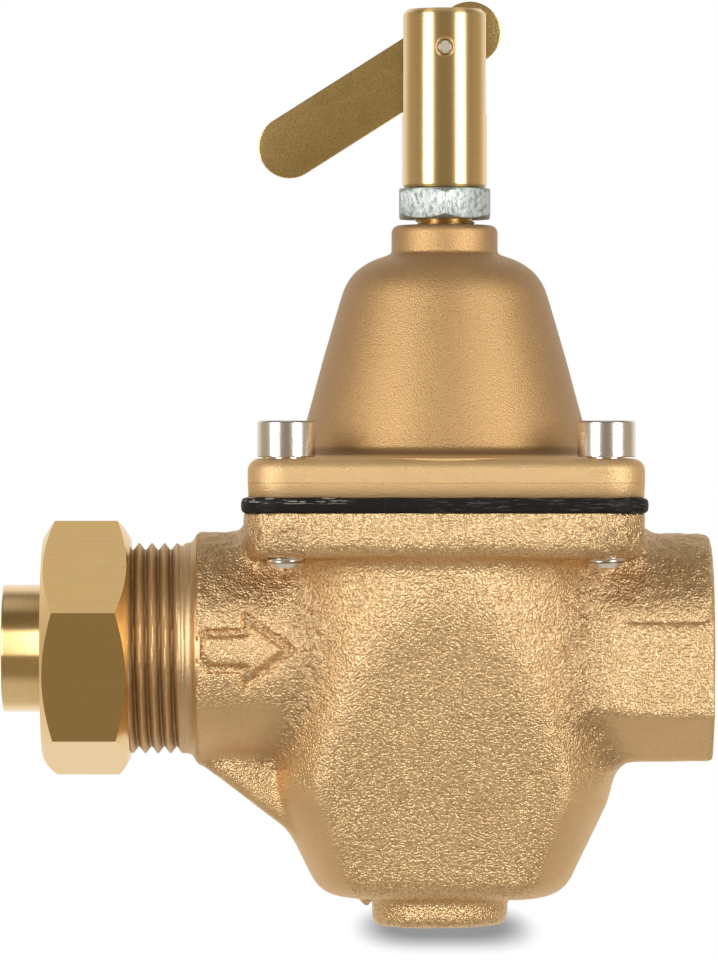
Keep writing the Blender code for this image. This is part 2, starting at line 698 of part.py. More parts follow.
def build_disc_holder():
    rim_inner = DISC_RADIUS + GAP
    rim_outer = rim_inner + 0.7 * MM
    rim_top = DISC_TOP - 0.5 * MM
    floor = DISC_BOTTOM - GAP
    return turned(
        "disc_holder",
        [
            (rim_outer, rim_top), (rim_outer, HOLDER_BOTTOM), (STEM_HOLE_RADIUS, HOLDER_BOTTOM),
            (STEM_HOLE_RADIUS, floor), (rim_inner, floor), (rim_inner, rim_top),
        ],
        PARTS, steps=SMALL_STEPS, ring=True,
    )


def build_strainer():
    """A cup of perforated sheet round the disc, with rows of square openings."""
    inner = SEAT_RADIUS - STRAINER_WALL
    floor = STRAINER_BOTTOM + STRAINER_WALL
    strainer = turned(
        "strainer_screen",
        [
            (inner, STRAINER_TOP), (SEAT_RADIUS, STRAINER_TOP), (SEAT_RADIUS, STRAINER_BOTTOM),
            (0.0, STRAINER_BOTTOM), (0.0, floor), (inner, floor), (inner, STRAINER_TOP),
        ],
        PARTS,
    )
    builder = bmesh.new()
    window = 2.6 * MM
    for row in range(3):
        height = STRAINER_BOTTOM + 4.4 * MM + row * 5.0 * MM
        for column in range(8):
            turn = Matrix.Rotation(math.pi / 8 + math.pi / 4 * column, 4, "Z")
            place = Matrix.Translation((SEAT_RADIUS, 0.0, height))
            size = Matrix.Diagonal((4.0 * MM, window, window, 1.0))
            bmesh.ops.create_cube(builder, size=1.0, matrix=turn @ place @ size)
    cut(strainer, from_bmesh("strainer_windows_cutter", builder, CUTTERS))
    return strainer


def build_spring(name, radius, wire, low, high, turns, steps):
    """An open coil with its wire's centre on a helix between two heights."""
    curve = bpy.data.curves.new(name, "CURVE")
    curve.dimensions = "3D"
    curve.bevel_depth = wire
    curve.bevel_resolution = 2
    curve.use_fill_caps = True
    spline = curve.splines.new("POLY")
    count = turns * steps
    spline.points.add(count)
    bottom = low + wire
    rise = high - wire - bottom
    for k, place in enumerate(spline.points):
        angle = math.tau * k / steps
        place.co = (radius * math.cos(angle), radius * math.sin(angle), bottom + rise * k / count, 1.0)
    return as_object(name, curve, PARTS)


def build_union_nut():
    nut = bevelled_nut(
        "union_nut", UNION_NUT_AF, UNION_NUT_LEFT_X, UNION_NUT_RIGHT_X, TAIL_RADIUS + GAP,
        turn=UNION_NUT_TURN + math.pi / 2, along_x=True,
    )
    bore_radius = THREAD_RADIUS + GAP
    thread = turned(
        "union_nut_thread_cutter",
        [
            (0.0, UNION_NUT_RIGHT_X + PAST), (bore_radius, UNION_NUT_RIGHT_X + PAST),
            (bore_radius, UNION_NUT_LEFT_X + UNION_NUT_WALL), (0.0, UNION_NUT_LEFT_X + UNION_NUT_WALL),
        ],
        CUTTERS, along_x=True,
    )
    cut(nut, thread)
    return nut


def build_union_tailpiece():
    flange_left = UNION_NUT_LEFT_X + UNION_NUT_WALL + GAP
    flange_right = THREAD_END_X - GASKET_THICKNESS - 2 * GAP
    cup_floor = TAIL_END_X + TAIL_CUP_DEPTH - 1.0 * MM
    return turned(
        "union_tailpiece",
        rounded([
            (TAIL_FLANGE_RADIUS, flange_right, 0), (TAIL_FLANGE_RADIUS, flange_left, 0),
            (TAIL_RADIUS, flange_left, 0), (TAIL_RADIUS, TAIL_END_X, 0.5 * MM),
            (TAIL_CUP_RADIUS, TAIL_END_X, 0), (TAIL_CUP_RADIUS, cup_floor, 0),
            (TAIL_BORE_RADIUS, cup_floor, 0), (TAIL_BORE_RADIUS, flange_right, 0),
        ], steps=2),
        PARTS, ring=True, along_x=True,
    )


def build_union_gasket():
    outer = TAIL_FLANGE_RADIUS - 0.4 * MM
    inner = INLET_BORE_RADIUS + 0.4 * MM
    right = THREAD_END_X - GAP
    left = right - GASKET_THICKNESS
    outline = [(outer, right), (outer, left), (inner, left), (inner, right)]
    return turned("union_gasket", outline, PARTS, steps=SMALL_STEPS, ring=True, along_x=True)


def paint(material, *items):
    for item in items:
        item.data.materials.append(material)


clear_scene()
PARTS = new_collection("pressure_reducing_valve")
CUTTERS = new_collection("cutters")

cast_bronze = metal("cast_bronze", (0.52, 0.34, 0.17), 0.45)
satin_bronze = metal("satin_bronze", (0.46, 0.27, 0.13), 0.38)
brass = metal("polished_brass", (0.62, 0.42, 0.14), 0.2)
dull_brass = metal("rolled_brass", (0.36, 0.24, 0.07), 0.42)
steel = metal("polished_steel", (0.62, 0.6, 0.56), 0.2)
zinc = metal("zinc_plate", (0.55, 0.57, 0.58), 0.35)
spring_steel = metal("spring_steel", (0.25, 0.25, 0.26), 0.4)
rubber = metal("black_rubber", (0.02, 0.02, 0.02), 0.6, 0.0)
fibre = metal("gasket_fibre", (0.2, 0.09, 0.04), 0.8, 0.0)

paint(cast_bronze, build_valve_body())
paint(satin_bronze, build_bonnet())
paint(rubber, build_diaphragm())
paint(steel, *(build_flange_screw(i + 1, x, y) for i, (x, y) in enumerate(screw_places())))
paint(zinc, bevelled_nut("lock_nut", LOCK_NUT_AF, LOCK_NUT_BOTTOM, LOCK_NUT_TOP, SHANK_RADIUS + GAP))
paint(brass, build_adjusting_screw())
paint(dull_brass, build_lever())
paint(steel, build_lever_pin(), build_fill_rod())
paint(zinc, build_spring_button(), build_diaphragm_plate())
paint(
    spring_steel,
    build_spring(
        "range_spring", RANGE_SPRING_RADIUS, RANGE_SPRING_WIRE,
        low=PLATE_TOP + GAP, high=BUTTON_BOTTOM - GAP, turns=4, steps=12,
    ),
    build_spring(
        "poppet_spring", POPPET_SPRING_RADIUS, POPPET_SPRING_WIRE,
        low=STRAINER_BOTTOM + STRAINER_WALL + GAP, high=HOLDER_BOTTOM - GAP, turns=4, steps=10,
    ),
)
paint(brass, washer("diaphragm_washer", 11.0 * MM, STEM_HOLE_RADIUS, WASHER_BOTTOM, WASHER_TOP))
paint(
    brass,
    bevelled_nut("diaphragm_nut", 8.0 * MM, PLATE_HUB_TOP + GAP, ROD_FOOT - 0.6 * MM, STEM_HOLE_RADIUS),
    bevelled_nut("disc_nut", 6.4 * MM, HOLDER_BOTTOM - GAP - 2.8 * MM, HOLDER_BOTTOM - GAP, STEM_HOLE_RADIUS),
)
paint(steel, build_valve_stem(), build_seat_ring(), build_strainer())
paint(
    fibre,
    washer("seat_gasket", OUTLET_CHAMBER_RADIUS - 0.5 * MM, WEB_HOLE_RADIUS + 0.4 * MM, WEB_TOP + GAP,
           SEAT_FLANGE_BOTTOM - GAP),
    build_union_gasket(),
)
paint(rubber, washer("seat_disc", DISC_RADIUS, STEM_HOLE_RADIUS, DISC_BOTTOM, DISC_TOP))
paint(brass, build_disc_holder(), build_union_nut(), build_union_tailpiece())
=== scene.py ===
import json
import math

import bmesh
import bpy
import numpy as np
import openvdb
from mathutils import Matrix, Vector

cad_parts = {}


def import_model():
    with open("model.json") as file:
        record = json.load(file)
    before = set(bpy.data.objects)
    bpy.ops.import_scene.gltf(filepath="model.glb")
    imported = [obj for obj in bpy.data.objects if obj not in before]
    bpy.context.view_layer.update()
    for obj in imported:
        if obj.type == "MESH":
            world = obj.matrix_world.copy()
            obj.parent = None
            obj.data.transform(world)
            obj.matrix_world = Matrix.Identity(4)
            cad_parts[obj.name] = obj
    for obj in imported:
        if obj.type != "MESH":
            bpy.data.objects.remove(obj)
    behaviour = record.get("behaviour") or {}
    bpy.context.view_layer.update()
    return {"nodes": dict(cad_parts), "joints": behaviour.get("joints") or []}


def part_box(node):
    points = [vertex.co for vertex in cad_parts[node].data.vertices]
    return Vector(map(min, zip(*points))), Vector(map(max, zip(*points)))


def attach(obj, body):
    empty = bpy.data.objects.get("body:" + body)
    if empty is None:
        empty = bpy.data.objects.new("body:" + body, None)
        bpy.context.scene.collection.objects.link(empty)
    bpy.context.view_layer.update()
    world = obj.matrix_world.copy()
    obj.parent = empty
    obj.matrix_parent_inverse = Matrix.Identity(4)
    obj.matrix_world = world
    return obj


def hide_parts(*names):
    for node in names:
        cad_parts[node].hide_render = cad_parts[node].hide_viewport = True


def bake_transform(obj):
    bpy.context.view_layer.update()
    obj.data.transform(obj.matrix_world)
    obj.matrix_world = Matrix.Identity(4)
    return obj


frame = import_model()

# The fine surface of a bronze pressure reducing valve. Shapes are in millimetres from the ports' axis
# and the stem's axis: X along the pipe, Y away from the camera, Z up. put() turns them into metres.

MM = 0.001


def cad_span(node):
    """The lowest and highest corner of a CAD node in millimetres, with heights from the ports' axis."""
    low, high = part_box(node)
    lift = Vector((0.0, 0.0, PORT_Z))
    return (low / MM - lift, high / MM - lift)


nut_low, nut_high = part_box("union_nut")
PORT_Z = (nut_low.z + nut_high.z) / 2 / MM
body_low, body_high = cad_span("valve_body")
bonnet_low, bonnet_high = cad_span("bonnet")
screw_low, screw_high = cad_span("flange_screw_1")
lock_low, lock_high = cad_span("lock_nut")
head_low, head_high = cad_span("adjusting_screw")
nut_low, nut_high = cad_span("union_nut")
tail_low, tail_high = cad_span("union_tailpiece")

THREAD_END_X = body_low.x
OUTLET_END_X = body_high.x
FLOOR_Z = body_low.z
BODY_TOP = body_high.z
BONNET_BOTTOM = bonnet_low.z
NECK_TOP = bonnet_high.z
FLANGE_HALF = 32.9
COLLAR_X = -41.4
NECK_RADIUS = 19.35
OUTLET_RADIUS = 19.2
CUP_SHIFT = -0.5
FACET_DEPTH = 26.4
FACET_SLOPE = 0.28
FACET_NORMAL = 0.963
PASSAGE_LOW = (-27.2, -13.2)
FLANGE_UNDER = 15.4
FLANGE_CORNER = 6.8
FLANGE_TOP = 32.0
SCREW_PLACE = abs(screw_low.x + screw_high.x) / 2
SCREW_RADIUS = 3.175
THREAD_PITCH = 25.4 / 12
THREAD_PHASE = 0.18
PIPE_PITCH = 25.4 / 14
ROUND = 144
SCREW_HOLE = 3.4


# ---- sculpting fields

VOXEL = 0.45
GRID_LOW = np.array([COLLAR_X - 2.0, -body_high.y - 2.0, FLOOR_Z - 2.0])
GRID_HIGH = np.array([OUTLET_END_X + 2.0, body_high.y + 2.0, BODY_TOP + 2.0])


def grid_axis(k):
    """The grid's coordinates along one axis, shaped to combine with the other two."""
    count = int(math.ceil((GRID_HIGH[k] - GRID_LOW[k]) / VOXEL))
    shape = [1, 1, 1]
    shape[k] = count
    return (GRID_LOW[k] + VOXEL * np.arange(count)).astype(np.float32).reshape(shape)


def rise(value, start, end):
    """0 before the start, 1 after the end and straight between them."""
    return np.clip((value - start) / (end - start), 0.0, 1.0)


def blend_union(a, b, reach):
    """Joins two distance fields with a fillet."""
    step = np.maximum(reach - np.abs(a - b), 0.0)
    return np.minimum(a, b) - step * step / (4.0 * reach)


def blend_limit(a, b, reach):
    """Keeps what lies in both fields, with a rounded edge."""
    step = np.maximum(reach - np.abs(a - b), 0.0)
    return np.maximum(a, b) + step * step / (4.0 * reach)


def softened(levels, z, reach=2.0):
    """Values through (height, value) levels, smoothed along the height."""
    heights, values = zip(*sorted(levels))
    offsets = np.linspace(-2.0, 2.0, 17)
    weights = np.exp(-offsets * offsets)
    total = sum(w * np.interp(z + o * reach, heights, values) for o, w in zip(offsets, weights))
    return (total / weights.sum()).astype(np.float32)


def rounded_plate(x, y, z, half, corner, low, high, edge):
    """A square plate with round corners and one edge radius."""
    qx = np.abs(x) - (half - corner)
    qy = np.abs(y) - (half - corner)
    outside = np.hypot(np.maximum(qx, 0.0), np.maximum(qy, 0.0)) + np.minimum(np.maximum(qx, qy), 0.0)
    side = outside - corner
    level = np.maximum(low - z, z - high)
    return blend_limit(side, level, edge * 1.7)


def cup_field(x, y, z):
    """The round barrel that narrows to a flat bottom, with a sloping facet at its front and back."""
    levels = [(20.0, 28.8), (-12.0, 28.8), (-22.0, 28.7), (-25.5, 27.9), (-31.0, 25.3), (-45.0, 18.6)]
    radius = softened(levels, z, 1.0)
    side = (np.hypot(x - CUP_SHIFT, y) - radius) * 0.95
    facet = (np.abs(y) - (FACET_DEPTH + FACET_SLOPE * z)) * FACET_NORMAL
    side = blend_limit(side, facet, 1.3)
    bottom = -41.9 + 0.0012 * ((x - CUP_SHIFT) ** 2 + y * y)
    return blend_limit(side, bottom - z, 3.6)


def outlet_field(x, y, z):
    """The outlet end: a round top over flat sides, with a sloping face under each side."""
    flat = 17.8
    swell = 1.1 * rise(-x, -31.5, -27.5)
    end = x - OUTLET_END_X
    top = np.maximum(np.hypot(y, z) - OUTLET_RADIUS, 4.6 - z)
    top = blend_limit(top, end, 2.4)
    slope = (np.abs(y) - z - (flat + 11.0)) / math.sqrt(2.0)
    block = blend_limit(np.abs(y) - flat - swell, slope, 0.8)
    block = blend_limit(block, np.maximum(-18.7 - z, z - 5.0), 0.8)
    block = blend_limit(block, end, 0.9)
    return np.maximum(np.minimum(top, block), 6.0 - x)


def passage_axes(x, z):
    """Distances along and across the sloping passage that joins the inlet to the cup."""
    out, up = x - PASSAGE_LOW[0], z - PASSAGE_LOW[1]
    return 0.8 * out - 0.6 * up, 0.6 * out + 0.8 * up


def gusset_field(x, y, z):
    """The boss round the sloping passage, from the neck down to the cup."""
    along, across = passage_axes(x, z)
    side = blend_limit(np.abs(across) - 13.0, np.abs(y) - 8.0, 3.0)
    return blend_limit(side, np.maximum(-9.5 - along, along - 19.0), 2.0)


def distance_to_path(u, v, path):
    """The distance from points (u, v) to a path of straight legs."""
    best = np.full(np.broadcast(u, v).shape, 1e3, np.float32)
    for (u0, v0), (u1, v1) in zip(path, path[1:]):
        du, dv = u1 - u0, v1 - v0
        t = np.clip(((u - u0) * du + (v - v0) * dv) / (du * du + dv * dv), 0.0, 1.0)
        best = np.minimum(best, np.hypot(u - u0 - t * du, v - v0 - t * dv))
    return best


def arrow_marks(x, z):
    """The distance from the outline of the flow arrow on the front of the inlet neck."""
    tip, barb, tail, notch = -25.6, -33.2, -40.1, -40.9
    half_shaft, half_head = 2.9, 5.6
    outline = [(notch, -0.2), (tail, half_shaft - 0.6), (tail + 0.9, half_shaft), (barb, half_shaft + 0.1),
               (barb + 0.1, half_head), (tip, 0.1), (barb, -half_head), (barb, -half_shaft),
               (tail + 0.8, -half_shaft), (notch, -0.2)]
    return distance_to_path(x, z, outline)


def cell_noise(points, size, seed):
    """Smooth noise from -1 to 1 on a lattice whose cells have the given size."""
    lattice = np.random.default_rng(seed).uniform(-1.0, 1.0, (64, 64, 64)).astype(np.float32)
    place = points / size
    cell = np.floor(place).astype(np.int32)
    t = (place - cell).astype(np.float32)
    t = t * t * (3.0 - 2.0 * t)
    total = np.zeros(len(points), np.float32)
    for corner in np.ndindex(2, 2, 2):
        weight = np.prod(np.where(corner, t, 1.0 - t), axis=1)
        i, j, k = ((cell + corner) % 64).T
        total += weight * lattice[i, j, k]
    return total


def casting_fields():
    """The body's distance field before it is machined, and how far each place lies in a valley."""
    x, y, z = (grid_axis(k) for k in range(3))
    cup = cup_field(x, y, z)
    inlet = np.maximum(np.hypot(y, z) - NECK_RADIUS, x - 2.0)
    outlet = outlet_field(x, y, z)
    necks = np.minimum(inlet, outlet)
    valley = np.exp(-(((cup - necks) / 3.2) ** 2)) * (z > -20.0)
    field = blend_union(cup, inlet, 3.4)
    field = blend_union(field, gusset_field(x, y, z), 1.4)
    field = blend_union(field, outlet, 4.6)
    shift = x + 0.25
    flange = rounded_plate(shift, y, z, FLANGE_HALF, FLANGE_CORNER, FLANGE_UNDER, BODY_TOP + 5.0, 1.9)
    field = blend_union(field, flange, 3.2)
    boss = np.maximum(np.hypot(x + 0.8, y) - 11.4, z + 38.0)
    boss = blend_limit(boss, FLOOR_Z - z, 2.4)
    nub = np.sqrt((x + 13.1) ** 2 + (y + 7.5) ** 2 + (z + 42.2) ** 2) - 0.6
    field = blend_union(field, np.minimum(boss, nub), 1.4)
    return x, y, z, field, valley


def smooth_places(x, y, z):
    """1 where the mould left the surface fine: undersides, the cup's lower sides, inside the arrow."""
    neck_under = rise(-z, 8.0, 11.0) * rise(-x, 25.5, 27.5) * (z > -18.4)
    outlet_under = rise(-z, 10.6, 11.2) * rise(x + 0.4 * (z + 11.0), 26.0, 28.0)
    facet_edge = np.interp(z, [-40.0, -31.0, -21.0], [14.8, 17.4, 19.6])
    cup_side = rise(-z, 21.0, 24.0) * rise(np.abs(x - CUP_SHIFT) - facet_edge, 0.0, 1.0)
    shaft = (np.abs(z) < 2.4) & (x > -40.0) & (x < -33.0)
    head = (x >= -33.0) & (np.abs(z) < 5.0 * (-26.4 - x) / 6.6)
    arrow = 0.45 * ((y < -10.0) & (shaft | head))
    return np.clip(np.max([neck_under, outlet_under, cup_side, arrow], axis=0), 0.0, 1.0)


def crown_places(x, z):
    """1 on the tops of the necks, where the sand left coarse folds and the material paints shade."""
    return rise(z, 5.0, 9.0) * (np.abs(x) > 23.0) * (z < 20.5)


def sculpted_casting():
    """The body's surface as points and faces, with layers of values at its points for the material."""
    x, y, z, field, valley = casting_fields()
    near = np.abs(field) < 1.8
    points = GRID_LOW + VOXEL * np.argwhere(near)
    fine = smooth_places(*points.T)
    folds_and_painted_shade = np.maximum(valley[near], 0.8 * crown_places(points[:, 0], points[:, 2]))
    coarse = 0.08 * cell_noise(points, 1.4, 11)
    wave = 0.12 * cell_noise(points, 7.0, 13)
    stretched = points * (1.0, 1.0, 0.55)
    folds = 0.24 * cell_noise(stretched, 1.7, 14) + 0.12 * cell_noise(points, 1.0, 15)
    bumps = (1.0 - 0.85 * fine) * (coarse + folds_and_painted_shade * folds) + wave
    field[near] += bumps.astype(np.float32)
    arrow_groove = np.minimum((0.68 - arrow_marks(x, z)) * 1.1, field + 0.8)
    field = np.where((y < 0.0) & (x < -24.0), blend_limit(field, arrow_groove, 0.3), field)
    for cutter in machining(x, y, z):
        field = np.maximum(field, cutter)
    grid = openvdb.FloatGrid()
    grid.copyFromArray(np.ascontiguousarray(field, np.float32))
    vertices, triangles, quads = grid.convertToPolygons(isovalue=0.0, adaptivity=0.012)
    vertices = GRID_LOW + VOXEL * vertices
    at = np.clip(np.round((vertices - GRID_LOW) / VOXEL).astype(int), 0, np.array(field.shape) - 1)
    vx, vy, vz = vertices.T
    # This layer covers the valleys and the neck tops, where the material paints shade over the folds.
    folds_and_painted_shade = np.maximum(valley[tuple(at.T)], 0.8 * crown_places(vx, vz))
    layers = {"fine": smooth_places(vx, vy, vz), "folds_and_painted_shade": folds_and_painted_shade}
    # This layer lies along the arrow's grooves, where the material paints shade.
    layers["arrow_groove"] = np.clip(1.25 - 2.2 * arrow_marks(vx, vz), 0.0, 1.0) * (vy < 0.0)
    return vertices, triangles, quads, layers


def machining(x, y, z):
    """The cuts made after casting, each as a field that is above 0 inside the cut."""
    stem = np.hypot(x, y)
    port = np.hypot(y, z)
    yield z - BODY_TOP
    yield COLLAR_X - x
    yield x - OUTLET_END_X
    yield np.minimum(23.5 - stem, z - 16.8)
    yield np.minimum(13.0 - stem, z + 7.6)
    yield np.minimum(9.6 - stem, np.minimum(z + 14.0, 5.0 - z))
    yield np.minimum(14.5 - stem, np.minimum(z + 37.0, -13.6 - z))
    yield np.minimum(8.0 - port, -24.0 - x)
    along, across = passage_axes(x, z)
    yield np.minimum(7.0 - np.hypot(across, y), np.minimum(along + 7.0, 22.0 - along))
    yield np.minimum(7.0 - port, x - 8.0)
    yield np.minimum(12.6 - port, x - (OUTLET_END_X - 15.5))
    for sx, sy in screw_places():
        yield np.minimum(SCREW_RADIUS + 0.25 - np.hypot(x - sx, y - sy), z - 5.0)


def screw_places():
    """Where the four flange screws stand."""
    return [(sx * SCREW_PLACE, sy * SCREW_PLACE) for sx in (-1, 1) for sy in (-1, 1)]


# ---- mesh tools


def link(name, data):
    """Adds a mesh, curve, light or camera to the scene."""
    item = bpy.data.objects.new(name, data)
    bpy.context.scene.collection.objects.link(item)
    return item


def put(name, vertices, faces, sharp=35.0):
    """A piece from points in millimetres, shaded smooth between edges sharper than the given angle."""
    mesh = bpy.data.meshes.new(name)
    places = (np.asarray(vertices, float) + (0.0, 0.0, PORT_Z)) * MM
    mesh.from_pydata(places.tolist(), [], faces)
    mesh.validate()
    builder = bmesh.new()
    builder.from_mesh(mesh)
    bmesh.ops.recalc_face_normals(builder, faces=builder.faces)
    builder.to_mesh(mesh)
    builder.free()
    finish_shading(mesh, sharp)
    return link(name, mesh)


def finish_shading(mesh, sharp):
    mesh.shade_smooth()
    mesh.set_sharp_from_angle(angle=math.radians(sharp))


def arc(outline, center, radius, start, end, steps=6):
    """Adds an arc to an outline, from one angle to another in degrees."""
    for k in range(steps + 1):
        angle = math.radians(start + (end - start) * k / steps)
        outline.append((center[0] + radius * math.cos(angle), center[1] + radius * math.sin(angle)))


def rounded_path(points, steps=4):
    """A smooth path through points."""
    path = []
    for k in range(len(points) - 1):
        before = points[max(k - 1, 0)]
        after = points[min(k + 2, len(points) - 1)]
        for n in range(steps):
            t = n / steps
            place = []
            for a, b, c, d in zip(before, points[k], points[k + 1], after):
                bend = (2 * a - 5 * b + 4 * c - d) * t * t + (3 * b - a - 3 * c + d) * t ** 3
                place.append(0.5 * (2 * b + (c - a) * t + bend))
            path.append(tuple(place))
    return path + [points[-1]]


def thread_rows(crest, depth, start, end, pitch, taper=0.0, rows=14):
    """Outline points along a thread; the third number is how deep its groove is at that place."""
    count = max(2, int(abs(end - start) / pitch * rows))
    points = []
    for k in range(count + 1):
        h = start + (end - start) * k / count
        runout = min(1.0, abs(h - start) / (0.6 * pitch), abs(h - end) / (0.6 * pitch))
        points.append((crest + taper * (h - start), h, depth * runout, pitch))
    return points


def laid(places, along_x, center):
    """Points made round Z, laid along X if asked, and moved to a centre."""
    if along_x:
        places = places[:, [2, 1, 0]] * (1.0, 1.0, -1.0)
    return places + (center[0], center[1], 0.0)


def lathe(name, outline, steps=ROUND, along_x=False, closed=False, center=(0.0, 0.0)):
    """A turned piece from (radius, height) points. A point of four numbers is cut by a helical groove.
    A closed outline is a ring; an open one starts and ends on the axis."""
    angles = np.arange(steps) * math.tau / steps
    rings = []
    vertices = []
    for point in outline:
        radius, height = point[0], point[1]
        if radius < 1e-6:
            rings.append([len(vertices)] * steps)
            vertices.append((0.0, 0.0, height))
            continue
        reach = np.full(steps, radius)
        if len(point) == 4:
            phase = (height / point[3] - angles / math.tau + THREAD_PHASE) % 1.0
            groove = np.clip((np.abs(2.0 * phase - 1.0) - 0.12) / 0.76, 0.0, 1.0)
            reach = reach - point[2] * groove
        rings.append(list(range(len(vertices), len(vertices) + steps)))
        vertices += list(zip(reach * np.cos(angles), reach * np.sin(angles), [height] * steps))
    pairs = list(zip(rings, rings[1:]))
    if closed:
        pairs.append((rings[-1], rings[0]))
    faces = []
    for low, high in pairs:
        for k in range(steps):
            n = (k + 1) % steps
            face = list(dict.fromkeys((low[k], low[n], high[n], high[k])))
            if len(face) > 2:
                faces.append(face)
    return put(name, laid(np.array(vertices), along_x, center), faces)


def evaluated(item):
    """A new mesh of an item with its modifiers applied."""
    bpy.context.view_layer.update()
    graph = bpy.context.evaluated_depsgraph_get()
    return bpy.data.meshes.new_from_object(item.evaluated_get(graph))


def apply_modifiers(item):
    """Makes an item's modifiers part of its mesh."""
    mesh = evaluated(item)
    item.modifiers.clear()
    item.data = mesh


def boolean(item, other, operation="DIFFERENCE"):
    """Cuts or joins a helper shape and removes it."""
    modifier = item.modifiers.new("Cut", "BOOLEAN")
    modifier.operation = operation
    modifier.solver = "EXACT"
    modifier.object = other
    apply_modifiers(item)
    bpy.data.objects.remove(other, do_unlink=True)
    return item


def drill(item, radius, low, high, place=(0.0, 0.0), steps=32):
    """Cuts a round hole from one height to another."""
    hole = [(0.0, high), (radius, high), (radius, low), (0.0, low)]
    return boolean(item, lathe("hole", hole, steps=steps, center=place))


def bar(name, low, high):
    """A plain block, used as a cutter."""
    (x0, y0, z0), (x1, y1, z1) = low, high
    corners = [(x, y, z) for x in (x0, x1) for y in (y0, y1) for z in (z0, z1)]
    faces = [(0, 1, 3, 2), (4, 6, 7, 5), (0, 4, 5, 1), (2, 3, 7, 6), (0, 2, 6, 4), (1, 5, 7, 3)]
    return put(name, corners, faces)


def hex_bar(name, across_flats, low, high, turn=0.0, along_x=False, center=(0.0, 0.0)):
    """A hexagonal bar, used alone or as a cutter."""
    radius = across_flats / math.sqrt(3.0)
    angles = [math.radians(turn) + math.tau * k / 6 for k in range(6)]
    rings = [[(radius * math.cos(a), radius * math.sin(a), h) for a in angles] for h in (low, high)]
    return skin(name, [laid(np.array(ring), along_x, center) for ring in rings])


def skin(name, rings):
    """A closed piece through rings that have the same number of points."""
    count = len(rings[0])
    last = count * (len(rings) - 1)
    faces = [tuple(range(count)), tuple(range(last, last + count))]
    for start in range(0, last, count):
        for k in range(count):
            a, b = start + k, start + (k + 1) % count
            faces.append((a, b, b + count, a + count))
    return put(name, np.concatenate(rings), faces)


def rounded_square(half, corner, side_steps=1):
    """The outline of a square with round corners."""
    points = []
    for quarter in range(4):
        turn = Matrix.Rotation(math.pi / 2 * quarter, 2)
        for k in range(13):
            angle = math.pi / 2 * k / 12
            reach = Vector((math.cos(angle), math.sin(angle))) * corner
            points.append(turn @ (Vector((half - corner, half - corner)) + reach))
        for k in range(1, side_steps):
            across = (half - corner) * (1.0 - 2.0 * k / side_steps)
            points.append(turn @ Vector((across, half)))
    return points


def plate_skin(name, rows, side_steps=1, warp=None):
    """A closed square plate through rows of (half width, height)."""
    widest = max(half for half, height in rows)
    rings = []
    for half, height in rows:
        corner = max(FLANGE_CORNER - (widest - half), 0.5)
        rings.append(np.array([(p.x, p.y, height) for p in rounded_square(half, corner, side_steps)]))
    return skin(name, [warp(ring) for ring in rings] if warp else rings)


def bevelled(item, width, segments=3, angle=30.0):
    """Rounds an item's edges and applies it."""
    modifier = item.modifiers.new("Edge", "BEVEL")
    modifier.width = width * MM
    modifier.segments = segments
    modifier.limit_method = "ANGLE"
    modifier.angle_limit = math.radians(angle)
    apply_modifiers(item)
    finish_shading(item.data, 35.0)
    return item


# ---- pieces


def build_casting():
    """The sand-cast body, sculpted as a distance field and skinned."""
    vertices, triangles, quads, layers = sculpted_casting()
    mesh = bpy.data.meshes.new("body_casting")
    faces = triangles.tolist() + quads.tolist()
    mesh.from_pydata(((vertices + (0.0, 0.0, PORT_Z)) * MM).tolist(), [], faces)
    for key, values in layers.items():
        layer = mesh.attributes.new(key, "FLOAT", "POINT")
        layer.data.foreach_set("value", np.asarray(values, np.float32))
    if signed_volume(mesh) < 0.0:
        mesh.flip_normals()
    finish_shading(mesh, 58.0)
    machined = np.zeros(len(mesh.polygons), np.int32)
    x, _, z = (read(mesh.polygons, "center") / MM - (0.0, 0.0, PORT_Z)).T
    nx, _, nz = read(mesh.polygons, "normal").T
    machined[(z > BODY_TOP - 0.3) & (nz > 0.7)] = 1
    machined[(x > OUTLET_END_X - 0.3) & (nx > 0.7)] = 1
    machined[(x < COLLAR_X + 0.3) & (nx < -0.7)] = 1
    mesh.polygons.foreach_set("material_index", machined)
    return link("body_casting", mesh)


def read(items, name, kind=np.float32):
    """A property of mesh elements, three numbers a row."""
    values = np.empty(len(items) * 3, kind)
    items.foreach_get(name, values)
    return values.reshape(-1, 3)


def signed_volume(mesh):
    """More than 0 where the faces look outwards."""
    mesh.calc_loop_triangles()
    corners = read(mesh.loop_triangles, "vertices", np.int32)
    a, b, c = read(mesh.vertices, "co")[corners].transpose(1, 0, 2)
    return float(np.einsum("ij,ij->i", a, np.cross(b, c)).sum())


def build_inlet_thread():
    """The machined inlet end: its collar, thread and bore."""
    outline = [(8.03, COLLAR_X + 0.7), (18.9, COLLAR_X + 0.7), (19.2, COLLAR_X - 0.1)]
    outline += [(18.6, COLLAR_X - 0.45), (18.0, COLLAR_X - 0.8), (17.7, COLLAR_X - 1.3)]
    outline += [(17.62, COLLAR_X - 1.9)]
    outline += thread_rows(17.62, 1.1, COLLAR_X - 2.0, THREAD_END_X + 0.8, THREAD_PITCH)
    outline += [(16.6, THREAD_END_X), (9.0, THREAD_END_X), (8.03, THREAD_END_X + 1.0)]
    return lathe("inlet_thread", outline, along_x=True, closed=True)


def build_outlet_thread():
    """The outlet's tapered pipe thread inside its end face."""
    mouth = OUTLET_END_X + 0.02
    deep = OUTLET_END_X - 15.4
    back = OUTLET_END_X - 0.8
    outline = [(7.02, deep), (12.5, deep), (12.5, back), (17.0, back), (17.0, mouth), (11.0, mouth)]
    outline += thread_rows(9.95, -1.0, OUTLET_END_X - 0.9, deep + 1.6, PIPE_PITCH, taper=1 / 32)
    outline += [(9.6, deep + 1.2), (7.02, deep + 0.2)]
    return lathe("outlet_thread", outline, along_x=True, closed=True)


